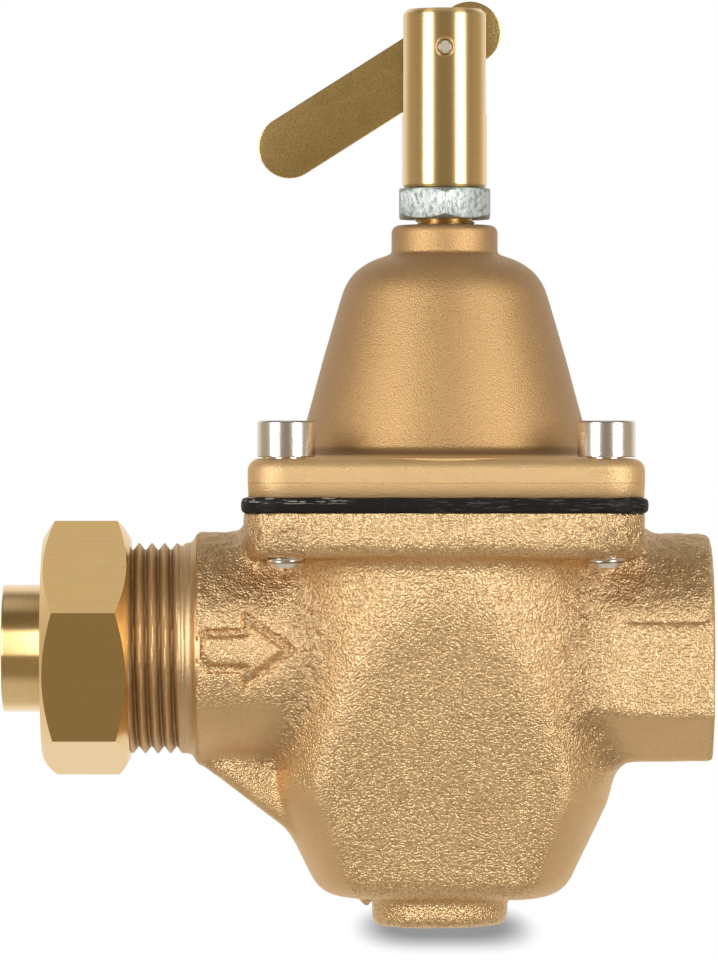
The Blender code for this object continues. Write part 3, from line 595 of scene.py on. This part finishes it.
def build_bonnet():
    """The spring cover: a square flange with a parting line, and a cone with a neck."""
    half = FLANGE_HALF - 0.25
    low = BONNET_BOTTOM - 0.45
    parting = 27.7
    rows = [(half - 0.35, low), (half - 0.12, low + 0.25), (half, parting - 0.06), (half - 0.07, parting)]
    rows += [(half + 0.02, parting + 0.06)]
    edge = []
    arc(edge, (half - 2.0, FLANGE_TOP - 2.3), 2.0, 0.0, 90.0, 8)
    rows += edge
    bonnet = plate_skin("bonnet_cover", rows)
    cone = [(0.0, NECK_TOP)]
    arc(cone, (8.9 - 1.3, NECK_TOP - 1.3), 1.3, 90.0, 0.0, 7)
    arc(cone, (8.9 + 0.8, 66.7), 0.8, 180.0, 245.0, 5)
    shoulder = [(9.9, 65.75), (11.75, 65.1), (13.3, 64.3), (14.6, 63.35), (15.35, 62.6), (16.0, 61.75)]
    shoulder += [(16.5, 60.9), (16.95, 59.9), (17.45, 58.4), (17.95, 56.7), (18.45, 55.0)]
    cone += rounded_path(shoulder)
    cone += [(20.4, 48.3), (22.2, 41.6), (23.6, 36.5), (24.3, 33.8)]
    cone += [(24.6, 33.1), (25.3, 32.65), (26.2, 32.45), (31.8, 31.72), (31.8, 30.0), (0.0, 30.0)]
    boolean(bonnet, lathe("bonnet_cone", cone, steps=192), "UNION")
    inside = [(0.0, NECK_TOP + 3.0), (5.4, NECK_TOP + 3.0), (5.4, 60.5), (12.0, 60.5), (14.2, 57.5)]
    inside += [(21.7, 30.0), (22.5, low - 3.0), (0.0, low - 3.0)]
    boolean(bonnet, lathe("bonnet_inside", inside, steps=96))
    for place in screw_places():
        drill(bonnet, SCREW_HOLE, low - 3.0, FLANGE_TOP + 3.0, place)
    finish_shading(bonnet.data, 40.0)
    return bonnet


def build_diaphragm():
    """The rubber sheet's rim, squeezed out a little between the flanges."""
    half = FLANGE_HALF + 0.5
    low, high = BODY_TOP - 0.1, BONNET_BOTTOM - 0.2

    def warp(places):
        x, y, z = places.T
        rim = rise(np.maximum(np.abs(x), np.abs(y)), FLANGE_HALF - 1.2, FLANGE_HALF)
        flat = places * (1.0, 1.0, 0.0)
        drift = cell_noise(flat, 7.0, 31) + 0.6 * cell_noise(flat, 2.3, 32)
        out = 1.0 + 0.0035 * drift * rim
        sag = np.where(z > (low + high) / 2, -0.22, 0.1) * (0.5 + 0.5 * drift) * rim
        return np.stack([x * out - 0.3, y * out, z + sag], axis=1)

    rows = [(FLANGE_HALF - 1.0, low), (half - 0.5, low), (half - 0.1, low + 0.35), (half, low + 1.0)]
    rows += [(half, high - 0.9), (half - 0.12, high - 0.3), (half - 0.5, high), (FLANGE_HALF - 1.0, high)]
    sheet = plate_skin("diaphragm_rim", rows, side_steps=48, warp=warp)
    drill(sheet, 22.4, low - 2.0, high + 2.0, steps=96)
    for place in screw_places():
        drill(sheet, SCREW_HOLE, low - 2.0, high + 2.0, place)
    return sheet


def build_diaphragm_centre():
    """The part of the rubber sheet that moves with the stem."""
    low, high = BODY_TOP + 0.05, BONNET_BOTTOM - 0.05
    outline = [(2.3, high), (21.0, high), (21.6, high - 0.4), (21.9, high - 1.2)]
    outline += [(21.6, low + 0.4), (21.0, low), (2.3, low)]
    return lathe("diaphragm_centre", outline, closed=True)


def build_flange_screw(number, x, y):
    """A socket head cap screw, whose threaded tip shows under the flange."""
    radius, height = 4.765, 6.0
    bottom = FLANGE_TOP - 0.05
    top = bottom + height
    tip = screw_low.z
    outline = [(0.0, top)]
    arc(outline, (radius - 0.45, top - 0.45), 0.45, 90.0, 0.0, 4)
    outline += [(radius, bottom + 0.15), (radius - 0.15, bottom), (SCREW_RADIUS, bottom)]
    outline += thread_rows(SCREW_RADIUS, 0.42, 22.0, tip + 0.7, 25.4 / 20)
    outline += [(SCREW_RADIUS - 0.7, tip), (0.0, tip)]
    name = f"cap_screw_{number}"
    screw = lathe(name, outline, steps=72, center=(x, y))
    boolean(screw, hex_bar("socket", 4.76, top - 3.0, top + 3.0, center=(x, y)))
    finish_shading(screw.data, 40.0)
    return screw


def chamfered_nut(name, across_flats, low, high, turn, along_x, chamfer=30.0, lead=0.2):
    """A hexagon nut with its corners turned off at both ends, without its hole."""
    nut = hex_bar(name, across_flats, low, high, turn, along_x)
    corner = across_flats / math.sqrt(3.0)
    face = across_flats / 2 * (1.0 - lead / 10)
    slope = math.tan(math.radians(chamfer))
    reach = corner + 1.0
    drop = (reach - face) * slope
    narrow = face - 0.5 / slope
    outline = [(0.0, high + 0.5), (narrow, high + 0.5), (reach, high - drop), (reach, low + drop)]
    outline += [(narrow, low - 0.5), (0.0, low - 0.5)]
    return boolean(nut, lathe("nut_form", outline, steps=192, along_x=along_x), "INTERSECT")


def build_lock_nut():
    """The zinc plated nut under the brass head."""
    low, high = lock_low.z, lock_high.z + 0.3
    nut = chamfered_nut("zinc_lock_nut", lock_high.y * math.sqrt(3.0), low, high, 90.0, False)
    hole = [(0.0, high + 2.0), (6.3, high + 2.0), (5.25, high - 0.6), (5.25, low + 0.6), (6.3, low - 2.0)]
    boolean(nut, lathe("lock_nut_hole", hole + [(0.0, low - 2.0)], steps=72))
    return bevelled(nut, 0.12, segments=2)


def build_adjuster():
    """The hollow adjusting screw, with its slotted lever head."""
    radius = 7.15
    low, high = lock_high.z + 0.45, head_high.z
    outline = [(2.1, high), (radius - 0.85, high), (radius - 0.75, high - 0.05)]
    outline += [(radius - 0.05, high - 0.75), (radius, high - 0.9)]
    outline += [(radius, low + 0.45), (radius - 0.1, low + 0.3), (radius - 0.35, low), (5.0, low)]
    outline += thread_rows(5.1, 0.6, low - 0.2, head_low.z + 0.6, 1.0, rows=8)
    outline += [(4.5, head_low.z), (2.1, head_low.z)]
    screw = lathe("adjuster_head", outline, closed=True)
    slot_floor = 89.4
    boolean(screw, bar("slot", (-20.0, -1.8, slot_floor), (20.0, 1.8, high + 5.0)))
    pivot = lever_pivot()
    hole = [(0.0, 12.0), (3.0, 12.0), (2.6, 8.0), (1.34, 6.62), (1.34, -6.62), (2.6, -8.0), (3.0, -12.0)]
    boolean(screw, across(lathe("pin_hole", hole + [(0.0, -12.0)], steps=48), pivot))
    finish_shading(screw.data, 30.0)
    return screw


def lever_pivot():
    """The height of the lever's pin above the ports' axis."""
    joint = next(j for j in frame["joints"] if j["name"] == "lever_pivot")
    return joint["pos_m"][2] / MM - PORT_Z


def turned(item, height, turn):
    """Turns a piece about the ports' level and lifts it to a height."""
    lift = Matrix.Translation((0.0, 0.0, PORT_Z * MM))
    rise_to = Matrix.Translation((0.0, 0.0, height * MM))
    item.data.transform(lift @ rise_to @ turn @ lift.inverted())
    return item


def across(item, height):
    """Turns a piece made on Z to lie along Y at a height."""
    return turned(item, height, Matrix.Rotation(math.pi / 2, 4, "X"))


def build_pin():
    """The lever's pin, staked over at four places at each end."""
    half = 6.75
    outline = [(0.0, half - 0.12), (0.7, half), (1.05, half - 0.05), (1.22, half - 0.3)]
    outline += [(r, -h) for r, h in reversed(outline)]
    pin = across(lathe("staked_pin", outline, steps=48), lever_pivot())
    for side in (-1, 1):
        for k in range(4):
            angle = math.pi / 4 + math.pi / 2 * k
            notch = [(0.0, 0.6), (0.34, 0.6), (0.2, -0.6), (0.0, -0.6)]
            cutter = across(lathe("notch", notch, steps=16), lever_pivot())
            shift = (1.08 * math.cos(angle), side * (half - 0.2), 1.08 * math.sin(angle))
            cutter.data.transform(Matrix.Translation(Vector(shift) * MM))
            boolean(pin, cutter)
    finish_shading(pin.data, 30.0)
    return pin


def build_lever():
    """The fast-fill lever: a flat bar with round ends."""
    half_width, thickness, droop = 5.2, 3.0, math.radians(32.4)
    ends = ((5.0, -90.0), (-30.8, 90.0))
    outline = []
    for center, start in ends:
        arc(outline, (center, 0.0), half_width, start, start + 180.0, 32)
    lever = skin("lever_bar", [[(x, y, z) for x, z in outline] for y in (-thickness / 2, thickness / 2)])
    turned(lever, lever_pivot(), Matrix.Rotation(-droop, 4, "Y"))
    hole = [(0.0, 4.0), (1.45, 4.0), (1.45, -4.0), (0.0, -4.0)]
    boolean(lever, across(lathe("lever_hole", hole, steps=48), lever_pivot()))
    return bevelled(lever, 0.13)


def build_union_nut():
    """The hexagon nut that draws the tailpiece to the body."""
    low, high = nut_low.x + 0.45, nut_high.x
    nut = chamfered_nut("brass_union_nut", 38.1, low, high, 13.5, True, lead=0.35)
    hole = [(0.0, low - 3.0), (11.0, low - 3.0), (11.0, low + 2.8), (16.6, low + 2.8)]
    hole += thread_rows(16.75, -1.1, low + 3.4, high - 0.2, THREAD_PITCH)
    hole += [(18.4, high), (18.4, high + 3.0), (0.0, high + 3.0)]
    boolean(nut, lathe("union_nut_thread", hole, steps=96, along_x=True))
    finish_shading(nut.data, 24.0)
    return nut


def build_tailpiece():
    """The tube that is soldered to the pipe, with the flange the nut holds."""
    left, right = tail_low.x + 0.3, tail_high.x
    flange = nut_low.x + 3.1
    outline = [(7.95, left + 0.35), (8.3, left), (10.2, left)]
    arc(outline, (10.25, left + 0.4), 0.4, 270.0, 360.0, 4)
    outline += [(10.65, flange - 0.5), (10.9, flange - 0.05), (11.3, flange), (15.3, flange)]
    outline += [(15.6, flange + 0.3), (15.6, right - 0.3), (15.3, right), (6.8, right)]
    outline += [(6.8, left + 11.4), (7.95, left + 11.0)]
    return lathe("brass_tailpiece", outline, along_x=True, closed=True)


def build_coil(name, node, radius, wire, turns):
    """A coil spring that fills its CAD node's height."""
    low, high = cad_span(node)
    curve = bpy.data.curves.new(name, "CURVE")
    curve.dimensions = "3D"
    curve.bevel_depth = wire * MM
    curve.bevel_resolution = 4
    curve.use_fill_caps = True
    spline = curve.splines.new("POLY")
    steps = 40 * turns
    spline.points.add(steps)
    for k, point in enumerate(spline.points):
        angle = math.tau * turns * k / steps
        height = low.z + wire + (high.z - low.z - 2 * wire) * k / steps
        place = (radius * math.cos(angle), radius * math.sin(angle), height + PORT_Z)
        point.co = (*(c * MM for c in place), 1.0)
    guide = link(name + "_guide", curve)
    mesh = evaluated(guide)
    bpy.data.objects.remove(guide, do_unlink=True)
    finish_shading(mesh, 40.0)
    return link(name, mesh)


# ---- materials


class Nodes:
    """Builds the node tree of a material or a world."""

    def __init__(self, owner):
        owner.use_nodes = True
        self.tree = owner.node_tree

    def feed(self, node, inputs):
        """Fills inputs, each with a plain value or from another node's output."""
        for key, source in inputs.items():
            if isinstance(source, bpy.types.NodeSocket):
                self.tree.links.new(source, node.inputs[key])
            else:
                node.inputs[key].default_value = source
        return node

    def node(self, kind, inputs=None, **settings):
        made = self.tree.nodes.new(kind)
        for key, value in settings.items():
            setattr(made, key, value)
        return self.feed(made, inputs or {})

    def math(self, operation, a, b=0.0):
        return self.node("ShaderNodeMath", {0: a, 1: b}, operation=operation).outputs[0]

    def hypot(self, a, b):
        return self.math("SQRT", self.math("ADD", self.math("POWER", a, 2.0), self.math("POWER", b, 2.0)))

    def step(self, source, low, high, start=0.0):
        """Maps a range smoothly to the range from start to 1."""
        inputs = {"Value": source, "From Min": low, "From Max": high, "To Min": start, "To Max": 1.0}
        return self.node("ShaderNodeMapRange", inputs, interpolation_type="SMOOTHSTEP").outputs[0]

    def mix(self, share, a, b, kind="RGBA"):
        made = self.node("ShaderNodeMix", {"Factor": share, "A": a, "B": b}, data_type=kind)
        return made.outputs["Result"]


class Finish(Nodes):
    """A Principled material built up in layers. Sizes are in millimetres."""

    def __init__(self, name, color, roughness, metallic=1.0):
        self.material = bpy.data.materials.new(name)
        super().__init__(self.material)
        self.shader = self.tree.nodes["Principled BSDF"]
        self.shader.inputs["Metallic"].default_value = metallic
        self.color = self.flat(color)
        self.rough = self.node("ShaderNodeValue").outputs[0]
        self.rough.default_value = roughness
        self.normal = None
        self.place = self.node("ShaderNodeTexCoord").outputs["Object"]

    def flat(self, color):
        made = self.node("ShaderNodeRGB").outputs[0]
        made.default_value = (*color, 1.0)
        return made

    def scaled(self, scale, offset):
        inputs = {"Vector": self.place, "Scale": scale, "Location": (offset, offset, offset)}
        return self.node("ShaderNodeMapping", inputs).outputs[0]

    def noise(self, size, detail=2.0, stretch=(1.0, 1.0, 1.0), offset=0.0, rough=0.5, twist=0.0):
        """Noise whose blotches are about this size, drawn out along an axis by stretch."""
        inputs = {"Vector": self.scaled([1.0 / (size * MM * s) for s in stretch], offset), "Scale": 1.0}
        inputs |= {"Detail": detail, "Roughness": rough, "Distortion": twist}
        return self.node("ShaderNodeTexNoise", inputs).outputs["Fac"]

    def grains(self, size, offset=0.0):
        """Round grains of this size: 0 at each grain's middle, rising to its edge."""
        inputs = {"Vector": self.scaled([1.0 / (size * MM)] * 3, offset), "Scale": 1.0}
        return self.node("ShaderNodeTexVoronoi", inputs, feature="F1").outputs["Distance"]

    def axis(self, k):
        """One coordinate of the place, in millimetres."""
        split = self.node("ShaderNodeSeparateXYZ", {0: self.place})
        return self.math("MULTIPLY", split.outputs[k], 1.0 / MM)

    def layer(self, name):
        return self.node("ShaderNodeAttribute", attribute_name=name).outputs["Fac"]

    def tint(self, share, color, strength=1.0):
        """Mixes a colour in, by a share from 0 to 1 that the strength scales."""
        self.color = self.mix(self.math("MULTIPLY", share, strength), self.color, self.flat(color))

    def roughen(self, share, amount):
        self.rough = self.mix(share, self.rough, amount, "FLOAT")

    def bump(self, height, depth, strength=1.0):
        inputs = {"Distance": depth * MM, "Strength": strength, "Height": height}
        if self.normal:
            inputs["Normal"] = self.normal
        self.normal = self.node("ShaderNodeBump", inputs).outputs["Normal"]

    def stretch_highlight(self, amount, axis):
        """Draws highlights out across turning marks round an axis."""
        around = self.node("ShaderNodeTangent", direction_type="RADIAL", axis=axis).outputs[0]
        self.feed(self.shader, {"Anisotropic": amount, "Anisotropic Rotation": 0.25, "Tangent": around})

    def done(self):
        self.feed(self.shader, {"Base Color": self.color, "Roughness": self.rough})
        if self.normal:
            self.feed(self.shader, {"Normal": self.normal})
        self.material.diffuse_color = (0.6, 0.45, 0.25, 1.0)
        return self.material


BRONZE = (0.85, 0.60, 0.335)
BRONZE_DARK = (0.30, 0.17, 0.07)
BRASS = (0.93, 0.66, 0.29)


def cast_bronze():
    """Sand-cast bronze: coarse glittering grain, finer on the undersides, with painted shade in the
    valleys, the folds and the arrow's grooves.
    """
    f = Finish("sand_cast_bronze", BRONZE, 0.41)
    fine = f.layer("fine")
    folds_and_painted_shade = f.layer("folds_and_painted_shade")
    coarse = f.math("SUBTRACT", 1.0, f.math("MULTIPLY", fine, 0.85))
    sand = f.grains(0.45)
    specks = f.grains(0.28, offset=5.0)
    folds = f.noise(1.5, 2.0, offset=3.0, twist=0.6)
    edges = f.step(sand, 0.45, 0.85)
    f.tint(f.math("MULTIPLY", edges, coarse), BRONZE_DARK, 0.40)
    # Painted shade in the valleys where the cup meets the necks, and in the folds on the neck tops.
    f.tint(folds_and_painted_shade, (0.46, 0.31, 0.17), 0.55)
    # Painted shade in the arrow's grooves.
    f.tint(f.layer("arrow_groove"), (0.34, 0.21, 0.10), 0.65)
    f.tint(f.step(f.noise(9.0, 3.0, offset=11.0), 0.45, 0.75), (0.60, 0.40, 0.21), 0.18)
    f.roughen(fine, 0.50)
    f.roughen(f.math("MULTIPLY", edges, 0.5), 0.56)
    f.bump(folds, 0.60, folds_and_painted_shade)
    f.bump(sand, -0.125, coarse)
    f.bump(specks, -0.10)
    return f.done()


def satin_bronze():
    """The cover's shot-blasted bronze: paler on its flange, with painted shade towards the cone's outline
    and in the crease at the cone's foot.
    """
    f = Finish("satin_bronze_blasted", (0.70, 0.455, 0.22), 0.55)
    dimples = f.grains(0.22)
    flange = f.step(f.axis(2), 80.0, 78.0)
    f.tint(f.step(dimples, 0.40, 0.80), (0.40, 0.25, 0.11), 0.35)
    f.tint(f.step(f.noise(7.0, 3.0, offset=5.0), 0.4, 0.7), (0.62, 0.38, 0.18), 0.15)
    # Painted shade: the cone darkens where it is seen edge-on, towards its outline.
    outline = f.step(f.node("ShaderNodeLayerWeight").outputs["Facing"], 0.15, 0.75)
    cone = f.math("SUBTRACT", 1.0, flange)
    f.tint(f.math("MULTIPLY", outline, cone), (0.46, 0.34, 0.24), 0.55)
    f.tint(flange, (0.89, 0.65, 0.365), 0.7)
    # Painted shade in the crease where the cone meets the flange.
    reach = f.hypot(f.axis(0), f.axis(1))
    height = f.math("ABSOLUTE", f.math("SUBTRACT", f.axis(2), PORT_Z + FLANGE_TOP + 0.7))
    painted_crease_shade = f.math("MULTIPLY", f.step(height, 1.5, 0.3), f.step(reach, 29.0, 26.0))
    f.tint(painted_crease_shade, (0.24, 0.14, 0.06), 0.60)
    f.bump(dimples, -0.055)
    return f.done()


def machined_bronze():
    """Turned faces and threads of the casting, with fine turning marks and painted shade in the thread
    roots.
    """
    f = Finish("machined_bronze", (0.74, 0.53, 0.30), 0.42)
    marks = f.noise(0.12, 1.0, stretch=(1.0, 60.0, 60.0))
    up = f.math("SUBTRACT", f.axis(2), PORT_Z)
    reach = f.hypot(up, f.axis(1))
    # Painted shade: darkens the thread roots and all that lies nearer the ports' axis.
    f.tint(f.step(reach, 17.30, 16.70), (0.24, 0.14, 0.06), 0.62)
    f.tint(f.step(marks, 0.55, 0.40), (0.40, 0.25, 0.12), 0.3)
    f.tint(f.step(f.noise(2.0, 3.0, offset=4.0), 0.5, 0.75), (0.76, 0.58, 0.38), 0.2)
    f.roughen(f.noise(1.2, 2.0), 0.56)
    f.bump(f.noise(0.35, 2.0, offset=9.0), 0.05)
    f.bump(marks, 0.015)
    return f.done()


def turned_brass(name, axis, color=BRASS, roughness=0.40, tangent="Z", stretched=0.94):
    """Bright turned brass whose marks run round an axis."""
    f = Finish(name, color, roughness)
    stretch = (60.0, 60.0, 1.0) if axis == 2 else (1.0, 60.0, 60.0)
    marks = f.noise(0.16, 2.0, stretch=stretch)
    f.tint(f.step(marks, 0.50, 0.35), (0.60, 0.38, 0.14), 0.12)
    f.bump(marks, 0.002)
    f.stretch_highlight(stretched, tangent)
    f.feed(f.shader, {"Coat Weight": 1.0, "Coat Roughness": 0.22, "Coat IOR": 1.8})
    return f.done()


def flat_brass():
    """The union nut's bright drawn brass, with fine marks along the bar."""
    f = Finish("drawn_brass", (0.88, 0.62, 0.29), 0.19)
    marks = f.noise(0.22, 2.0, stretch=(50.0, 1.0, 1.0))
    f.tint(f.step(marks, 0.55, 0.38), (0.55, 0.37, 0.15), 0.10)
    f.bump(marks, 0.002)
    return f.done()


def lever_brass():
    """Rolled brass with a dull, finely specked face."""
    f = Finish("rolled_brass_bar", (0.80, 0.58, 0.26), 0.26)
    specks = f.noise(0.36, 2.0)
    f.tint(f.step(specks, 0.48, 0.36), (0.42, 0.29, 0.11), 0.40)
    f.tint(f.step(specks, 0.62, 0.70), (0.98, 0.82, 0.48), 0.45)
    f.tint(f.step(f.noise(4.0, 3.0, offset=8.0), 0.45, 0.7), (0.60, 0.42, 0.18), 0.25)
    f.bump(specks, 0.025)
    f.bump(f.noise(0.2, 1.0, offset=1.0), 0.01)
    return f.done()


def bright_steel(name="bright_nickel", color=(0.80, 0.76, 0.72), roughness=0.22):
    """Polished plated steel with faint marks."""
    f = Finish(name, color, roughness)
    marks = f.noise(0.2, 2.0, stretch=(1.0, 1.0, 20.0))
    f.tint(f.step(marks, 0.52, 0.36), (0.45, 0.42, 0.38), 0.12)
    f.roughen(f.noise(0.6, 2.0, offset=2.0), roughness + 0.08)
    return f.done()


def mottled_zinc():
    """Zinc plating with pale and blue-grey crystals."""
    f = Finish("mottled_zinc", (0.44, 0.48, 0.475), 0.50, metallic=0.6)
    crystals = f.noise(0.55, 3.0, stretch=(1.0, 1.0, 1.8), rough=0.7)
    fine = f.noise(0.3, 2.0, offset=4.0)
    f.tint(f.step(crystals, 0.52, 0.36), (0.20, 0.24, 0.25), 0.9)
    f.tint(f.step(crystals, 0.56, 0.70), (0.68, 0.71, 0.70), 0.6)
    f.tint(f.step(fine, 0.42, 0.30), (0.30, 0.34, 0.34), 0.4)
    f.roughen(f.step(crystals, 0.4, 0.6), 0.40)
    f.bump(crystals, 0.05)
    f.bump(fine, 0.02)
    return f.done()


def black_rubber():
    """Moulded black rubber with pale flecks where its edge is torn."""
    f = Finish("black_sheet_rubber", (0.008, 0.007, 0.006), 0.45, metallic=0.0)
    f.shader.inputs["Specular IOR Level"].default_value = 0.22
    flecks = f.noise(0.5, 2.0, stretch=(5.0, 5.0, 0.6), offset=3.0)
    torn = f.math("MULTIPLY", f.step(f.axis(0), -14.0, -20.0), f.step(f.axis(2), 70.6, 71.1))
    torn = f.math("MAXIMUM", torn, f.math("MULTIPLY", f.step(f.axis(0), -6.0, 2.0), 0.12))
    f.tint(f.math("MULTIPLY", f.step(flecks, 0.56, 0.64), torn), (0.50, 0.46, 0.40), 0.8)
    f.tint(f.step(f.noise(0.8, 3.0), 0.5, 0.7), (0.02, 0.018, 0.016), 0.5)
    f.roughen(f.noise(0.6, 2.0, offset=2.0), 0.62)
    f.bump(f.noise(0.7, 3.0, stretch=(3.0, 3.0, 1.0)), 0.18)
    f.bump(f.noise(0.25, 1.0, offset=6.0), 0.05)
    return f.done()


def gasket_fibre():
    """Pressed red fibre."""
    f = Finish("pressed_fibre", (0.25, 0.11, 0.05), 0.8, metallic=0.0)
    strands = f.noise(0.3, 3.0, stretch=(1.0, 5.0, 1.0))
    f.tint(f.step(strands, 0.45, 0.65), (0.40, 0.20, 0.10), 0.6)
    f.bump(strands, 0.05)
    return f.done()


def dark_spring():
    """Oiled spring steel."""
    f = Finish("oiled_spring_steel", (0.20, 0.19, 0.19), 0.34)
    marks = f.noise(0.5, 3.0)
    f.tint(f.step(marks, 0.5, 0.7), (0.42, 0.38, 0.34), 0.4)
    f.roughen(marks, 0.5)
    f.bump(marks, 0.02)
    return f.done()


# ---- assembly


def place(piece, body, material, slot, *nodes):
    """Finishes a piece and lets it ride on its body in place of CAD nodes."""
    if material:
        piece.data.materials.clear()
        piece.data.materials.append(material)
    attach(piece, body)
    if nodes:
        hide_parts(*nodes)
    return piece


def refinish(material, slot, *nodes):
    """Gives CAD nodes that stay in view a new finish."""
    for node in nodes:
        piece = frame["nodes"][node]
        piece.data.materials.clear()
        piece.data.materials.append(material)


machined = machined_bronze()
satin = satin_bronze()
steel = bright_steel()
rubber = black_rubber()
fibre = gasket_fibre()
spring = dark_spring()
zinc = mottled_zinc()
stem_brass = turned_brass("turned_brass_z", 2, tangent="Z")
port_brass = turned_brass("turned_brass_x", 0, tangent="X", roughness=0.30, stretched=0.97)

casting = build_casting()
casting.data.materials.append(cast_bronze())
casting.data.materials.append(machined)
place(casting, "root", None, "cast_bronze", "valve_body")
place(build_inlet_thread(), "root", machined, "cast_bronze")
place(build_outlet_thread(), "root", machined, "cast_bronze")
place(build_bonnet(), "root", satin, "satin_bronze", "bonnet")
place(build_diaphragm(), "root", rubber, "black_rubber", "diaphragm")
place(build_diaphragm_centre(), "stem_assembly", rubber, "black_rubber")
for number, (x, y) in enumerate(screw_places(), 1):
    screw = build_flange_screw(number, x, y)
    place(screw, "root", steel, "polished_steel", f"flange_screw_{number}")
place(build_lock_nut(), "lock_nut", zinc, "zinc_plate", "lock_nut")
place(build_adjuster(), "adjuster", stem_brass, "polished_brass", "adjusting_screw")
pin_steel = bright_steel("pin_steel", (0.92, 0.85, 0.74), 0.38)
place(build_pin(), "adjuster", pin_steel, "polished_steel", "lever_pin")
lever = place(build_lever(), "lever", lever_brass(), "rolled_brass", "fast_fill_lever")
lever.visible_glossy = False
place(build_union_nut(), "union_nut", flat_brass(), "polished_brass", "union_nut")
place(build_tailpiece(), "union_tail", port_brass, "polished_brass", "union_tailpiece")


def build_springs():
    """Coil springs in place of the CAD springs, each filling its node's height."""
    for name, node, radius, wire, turns, moving in (
        ("range_coil", "range_spring", 10.5, 1.9, 4, "spring_loader"),
        ("poppet_coil", "poppet_spring", 5.0, 0.5, 4, "stem_assembly"),
    ):
        coil = build_coil(name, node, radius, wire, turns)
        coil.data.materials.append(spring)
        low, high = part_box(node)
        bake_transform(coil)
        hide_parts(node)


build_springs()
refinish(steel, "polished_steel", "fill_push_rod", "valve_stem", "seat_ring", "strainer_screen")
refinish(zinc, "zinc_plate", "spring_button", "diaphragm_plate")
refinish(stem_brass, "polished_brass", "diaphragm_washer", "diaphragm_nut", "disc_holder", "disc_nut")
refinish(fibre, "gasket_fibre", "seat_gasket", "union_gasket")
refinish(rubber, "black_rubber", "seat_disc")


# ---- studio

ROOM_FRONT = (0.27, 0.225, 0.15, 1.0)
ROOM_DARK = (0.15, 0.125, 0.085, 1.0)
ROOM_SIDE = (0.46, 0.385, 0.26, 1.0)
ROOM_TOP = (0.68, 0.64, 0.58, 1.0)
ROOM_FLOOR = (0.66, 0.61, 0.54, 1.0)
ROOM_BACK = (0.93, 0.89, 0.82, 1.0)
# How far the floor's painted shadow reaches across and along, in metres.
SHADOW_REACH = (0.0165, 0.080)
CAMERA_DISTANCE = 1.245
CAMERA_X = -0.01435
CAMERA_Z = (PORT_Z + 28.2) * MM


def camera():
    """A long lens, level with the middle of the valve."""
    data = bpy.data.cameras.new("Camera")
    data.sensor_width = 36.0
    data.lens = 278.3
    data.clip_start = 0.1
    data.clip_end = 60.0
    item = link("Camera", data)
    item.location = (CAMERA_X, -CAMERA_DISTANCE, CAMERA_Z)
    item.rotation_euler = (math.pi / 2, 0.0, 0.0)
    bpy.context.scene.camera = item


def softbox(name, azimuth, elevation, distance, width, height, power):
    """A rectangular light that faces the valve. Azimuth 0 is the camera's side."""
    data = bpy.data.lights.new(name, "AREA")
    data.shape = "RECTANGLE"
    data.size = width
    data.size_y = height
    data.energy = power
    item = link(name, data)
    a, e = math.radians(azimuth), math.radians(elevation)
    away = Vector((math.sin(a) * math.cos(e), -math.cos(a) * math.cos(e), math.sin(e)))
    item.location = Vector((0.0, 0.0, CAMERA_Z)) + away * distance
    item.rotation_euler = away.to_track_quat("Z", "Y").to_euler()


def world():
    """White behind the valve. Its reflections see a warm dark room in front, and pale floor and ceiling."""
    made = bpy.data.worlds.new("Studio")
    bpy.context.scene.world = made
    n = Nodes(made)
    n.tree.nodes.clear()
    around = n.node("ShaderNodeTexCoord").outputs["Generated"]
    _, y, z = n.node("ShaderNodeSeparateXYZ", {0: around}).outputs
    color = n.mix(n.step(y, -0.55, 0.05), ROOM_FRONT, ROOM_SIDE)
    color = n.mix(n.step(z, 0.35, 0.75), color, ROOM_DARK)
    color = n.mix(n.step(z, 0.90, 0.99), color, ROOM_TOP)
    color = n.mix(n.step(z, -0.70, -0.92), color, ROOM_FLOOR)
    color = n.mix(n.step(y, 0.32, 0.78), color, ROOM_BACK)
    room = n.node("ShaderNodeBackground", {"Color": color}).outputs[0]
    white = n.node("ShaderNodeBackground", {"Color": (1.0, 1.0, 1.0, 1.0)}).outputs[0]
    seen = n.node("ShaderNodeLightPath").outputs["Is Camera Ray"]
    both = n.node("ShaderNodeMixShader", {0: seen, 1: room, 2: white}).outputs[0]
    n.node("ShaderNodeOutputWorld", {0: both})


def floor():
    """A pale glowing floor with a painted soft oval shadow under the valve, hidden from reflections and
    from diffuse light.
    """
    mesh = bpy.data.meshes.new("floor")
    low = PORT_Z * MM + FLOOR_Z * MM - 0.0002
    mesh.from_pydata([(-6, -3, low), (6, -3, low), (6, 9, low), (-6, 9, low)], [], [(0, 1, 2, 3)])
    item = link("floor", mesh)
    material = bpy.data.materials.new("pale_floor")
    n = Nodes(material)
    n.tree.nodes.clear()
    split = n.node("ShaderNodeSeparateXYZ", {0: n.node("ShaderNodeTexCoord").outputs["Object"]})
    across, along = (n.math("DIVIDE", split.outputs[k], SHADOW_REACH[k]) for k in range(2))
    away = n.hypot(n.math("POWER", across, 2.0), along)
    # The emission dims towards the middle of an oval: a painted shadow under the valve.
    painted_shadow_glow = n.node("ShaderNodeEmission", {"Strength": n.step(away, 0.25, 1.0, start=0.30)})
    n.node("ShaderNodeOutputMaterial", {"Surface": painted_shadow_glow.outputs[0]})
    mesh.materials.append(material)
    item.visible_glossy = False
    item.visible_diffuse = False


camera()
world()
floor()
softbox("left_softbox", -46.0, 8.0, 1.2, 0.52, 0.80, 9.8)
softbox("right_softbox", 44.0, 8.0, 1.2, 0.52, 0.80, 9.8)
bpy.context.scene.view_settings.view_transform = "Standard"
